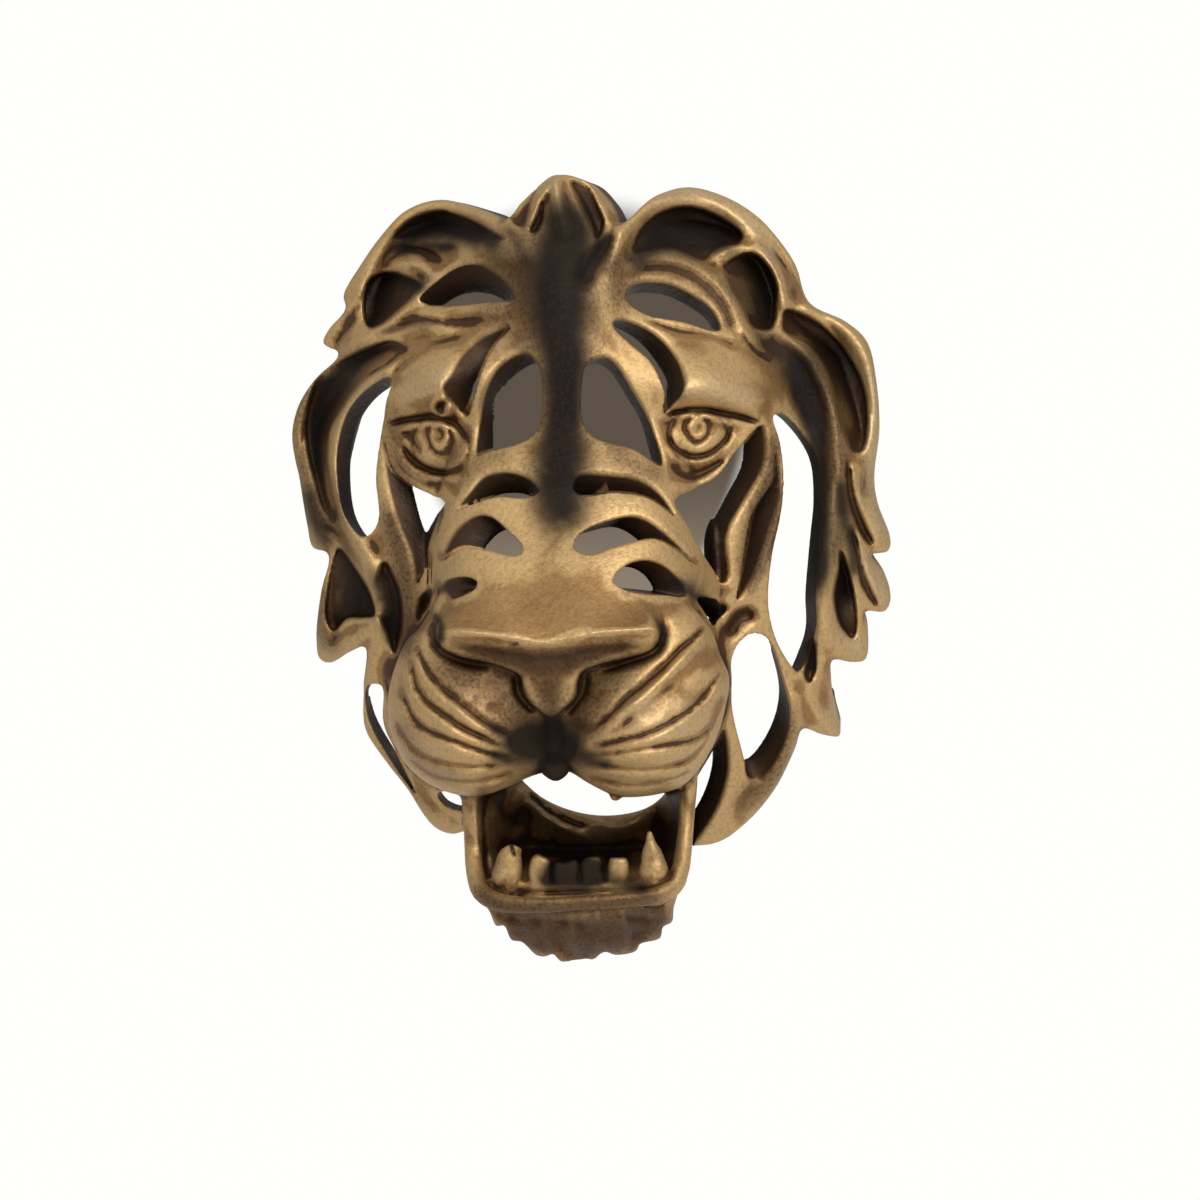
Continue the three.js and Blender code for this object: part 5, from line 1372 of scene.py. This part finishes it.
# %% [markdown]
# ## The wall and the floor
#
# The mask hangs on a pale wall that shows grey through the inner openings, where the mask shades it. A wall
# lit white by lamps would throw light back into the openings and wash out their brown sides. So the wall
# glows evenly and lights nothing, and the shade is painted on it as a soft egg behind the face. It is clear
# from behind, so that the back of the mask can be looked at.

# %% The wall
WALL_GAP = 0.001
FLOOR_HEIGHT = -0.45


def plain_sheet(name, corners, finish):
    """A flat four-cornered sheet for the stage."""
    made = new_mesh(name, np.array(corners, float), np.array([[0, 1, 2, 3]]))
    made.data.materials.append(finish)
    return made


# %% The shade on the wall
SHADE_MIDDLE, SHADE_HALF_WIDTH, SHADE_HALF_HEIGHT = (-5.0, 55.0), 56.0, 74.0
LOW_SHADE, HIGH_SHADE, WALL_PALE = linear(140, 128, 112), linear(92, 82, 71), linear(255, 255, 253)
shade_x, shade_z = sighted(*SHADE_MIDDLE, 0.0)
wall_finish = material("pale_wall")
tree = wall_finish.node_tree
spot = node(tree, "ShaderNodeSeparateXYZ", {0: node(tree, "ShaderNodeTexCoord").outputs["Object"]})
across = sum_of(tree, spot.outputs[0], shade_x * unit, "SUBTRACT")
upward = sum_of(tree, spot.outputs[2], (shade_z - HANG_HEIGHT) * unit, "SUBTRACT")
upward = sum_of(tree, upward, SHADE_HALF_HEIGHT * unit, "DIVIDE")
wider = sum_of(tree, sum_of(tree, upward, 0.3, "MULTIPLY"), 1.0)
across = sum_of(tree, sum_of(tree, across, SHADE_HALF_WIDTH * unit, "DIVIDE"), wider, "DIVIDE")
outwards = sum_of(tree, sum_of(tree, across, 2.0, "POWER"), sum_of(tree, upward, 2.0, "POWER"))
outwards = sum_of(tree, outwards, 0.5, "POWER")
shade = mixed(tree, share_of(tree, upward, -0.75, -0.1), LOW_SHADE, HIGH_SHADE)
lit = mixed(tree, share_of(tree, outwards, 0.9, 1.08), shade, WALL_PALE)
behind = node(tree, "ShaderNodeNewGeometry").outputs["Backfacing"]
pale = node(tree, "ShaderNodeEmission", {"Color": lit, "Strength": 1.0}).outputs[0]
clear = node(tree, "ShaderNodeBsdfTransparent").outputs[0]
one_sided = node(tree, "ShaderNodeMixShader", {0: behind, 1: pale, 2: clear}).outputs[0]
node(tree, "ShaderNodeOutputMaterial", {"Surface": one_sided})
wall_corners = [(x, WALL_GAP, z) for x, z in ((-2, FLOOR_HEIGHT), (2, FLOOR_HEIGHT), (2, 2), (-2, 2))]
wall = plain_sheet("wall", wall_corners, wall_finish)
wall.visible_diffuse = False
wall.visible_glossy = False
wall.visible_shadow = False

# %% The floor
floor_finish = material("pale_floor")
tree = floor_finish.node_tree
pale = node(tree, "ShaderNodeBsdfDiffuse", {"Color": (0.85, 0.85, 0.84, 1)}).outputs[0]
node(tree, "ShaderNodeOutputMaterial", {"Surface": pale})
floor_corners = [(x, y, FLOOR_HEIGHT) for x, y in ((-3, -3), (3, -3), (3, 3), (-3, 3))]
plain_sheet("floor", floor_corners, floor_finish)

# %% [markdown]
# ## The light
#
# The picture is taken with a soft light in front and a little to the right, so the sides of each lock fall
# off into brown. A white world does most of it, stronger in front and above than behind and below, and one
# large square lamp adds the gloss. The camera sees the world plain white.

# %% The world
FRONT_GLOW, BACK_GLOW, LOW_GLOW, HIGH_GLOW = 0.58, 0.28, 0.35, 1.5
world = bpy.data.worlds.new("studio")
bpy.context.scene.world = world
world.use_nodes = True
tree = world.node_tree
tree.nodes.clear()
way = node(tree, "ShaderNodeTexCoord").outputs["Generated"]
parts = node(tree, "ShaderNodeSeparateXYZ", {0: way})
from_front = {"Value": parts.outputs[1], 1: -0.2, 2: 0.6, 3: FRONT_GLOW, 4: BACK_GLOW}
from_above = {"Value": parts.outputs[2], 1: -0.8, 2: 0.8, 3: LOW_GLOW, 4: HIGH_GLOW}
glows = [node(tree, "ShaderNodeMapRange", limits).outputs[0] for limits in (from_front, from_above)]
strength = sum_of(tree, *glows, "MULTIPLY")
seen = node(tree, "ShaderNodeLightPath").outputs["Is Camera Ray"]
strength = node(tree, "ShaderNodeMix", {0: seen, 2: strength, 3: 1.0}, data_type="FLOAT").outputs[0]
glow = node(tree, "ShaderNodeBackground", {"Color": (1, 1, 1, 1), "Strength": strength}).outputs[0]
node(tree, "ShaderNodeOutputWorld", {"Surface": glow})


# %% The lamp
KEY_PLACE, KEY_AIM = Vector((0.36, -0.85, 0.5)), Vector((0, -0.04, -0.118))
KEY_SIZE, KEY_POWER = 0.8, 9.0
key_data = bpy.data.lights.new("key", "AREA")
key_data.size = KEY_SIZE
key_data.energy = KEY_POWER
key = bpy.data.objects.new("key", key_data)
key.location = KEY_PLACE
key.rotation_euler = (KEY_AIM - KEY_PLACE).to_track_quat("-Z", "Y").to_euler()
bpy.context.scene.collection.objects.link(key)
bpy.context.scene.view_settings.view_transform = "Standard"
print("the lamp stands", round((KEY_AIM - KEY_PLACE).length, 2), "m away")
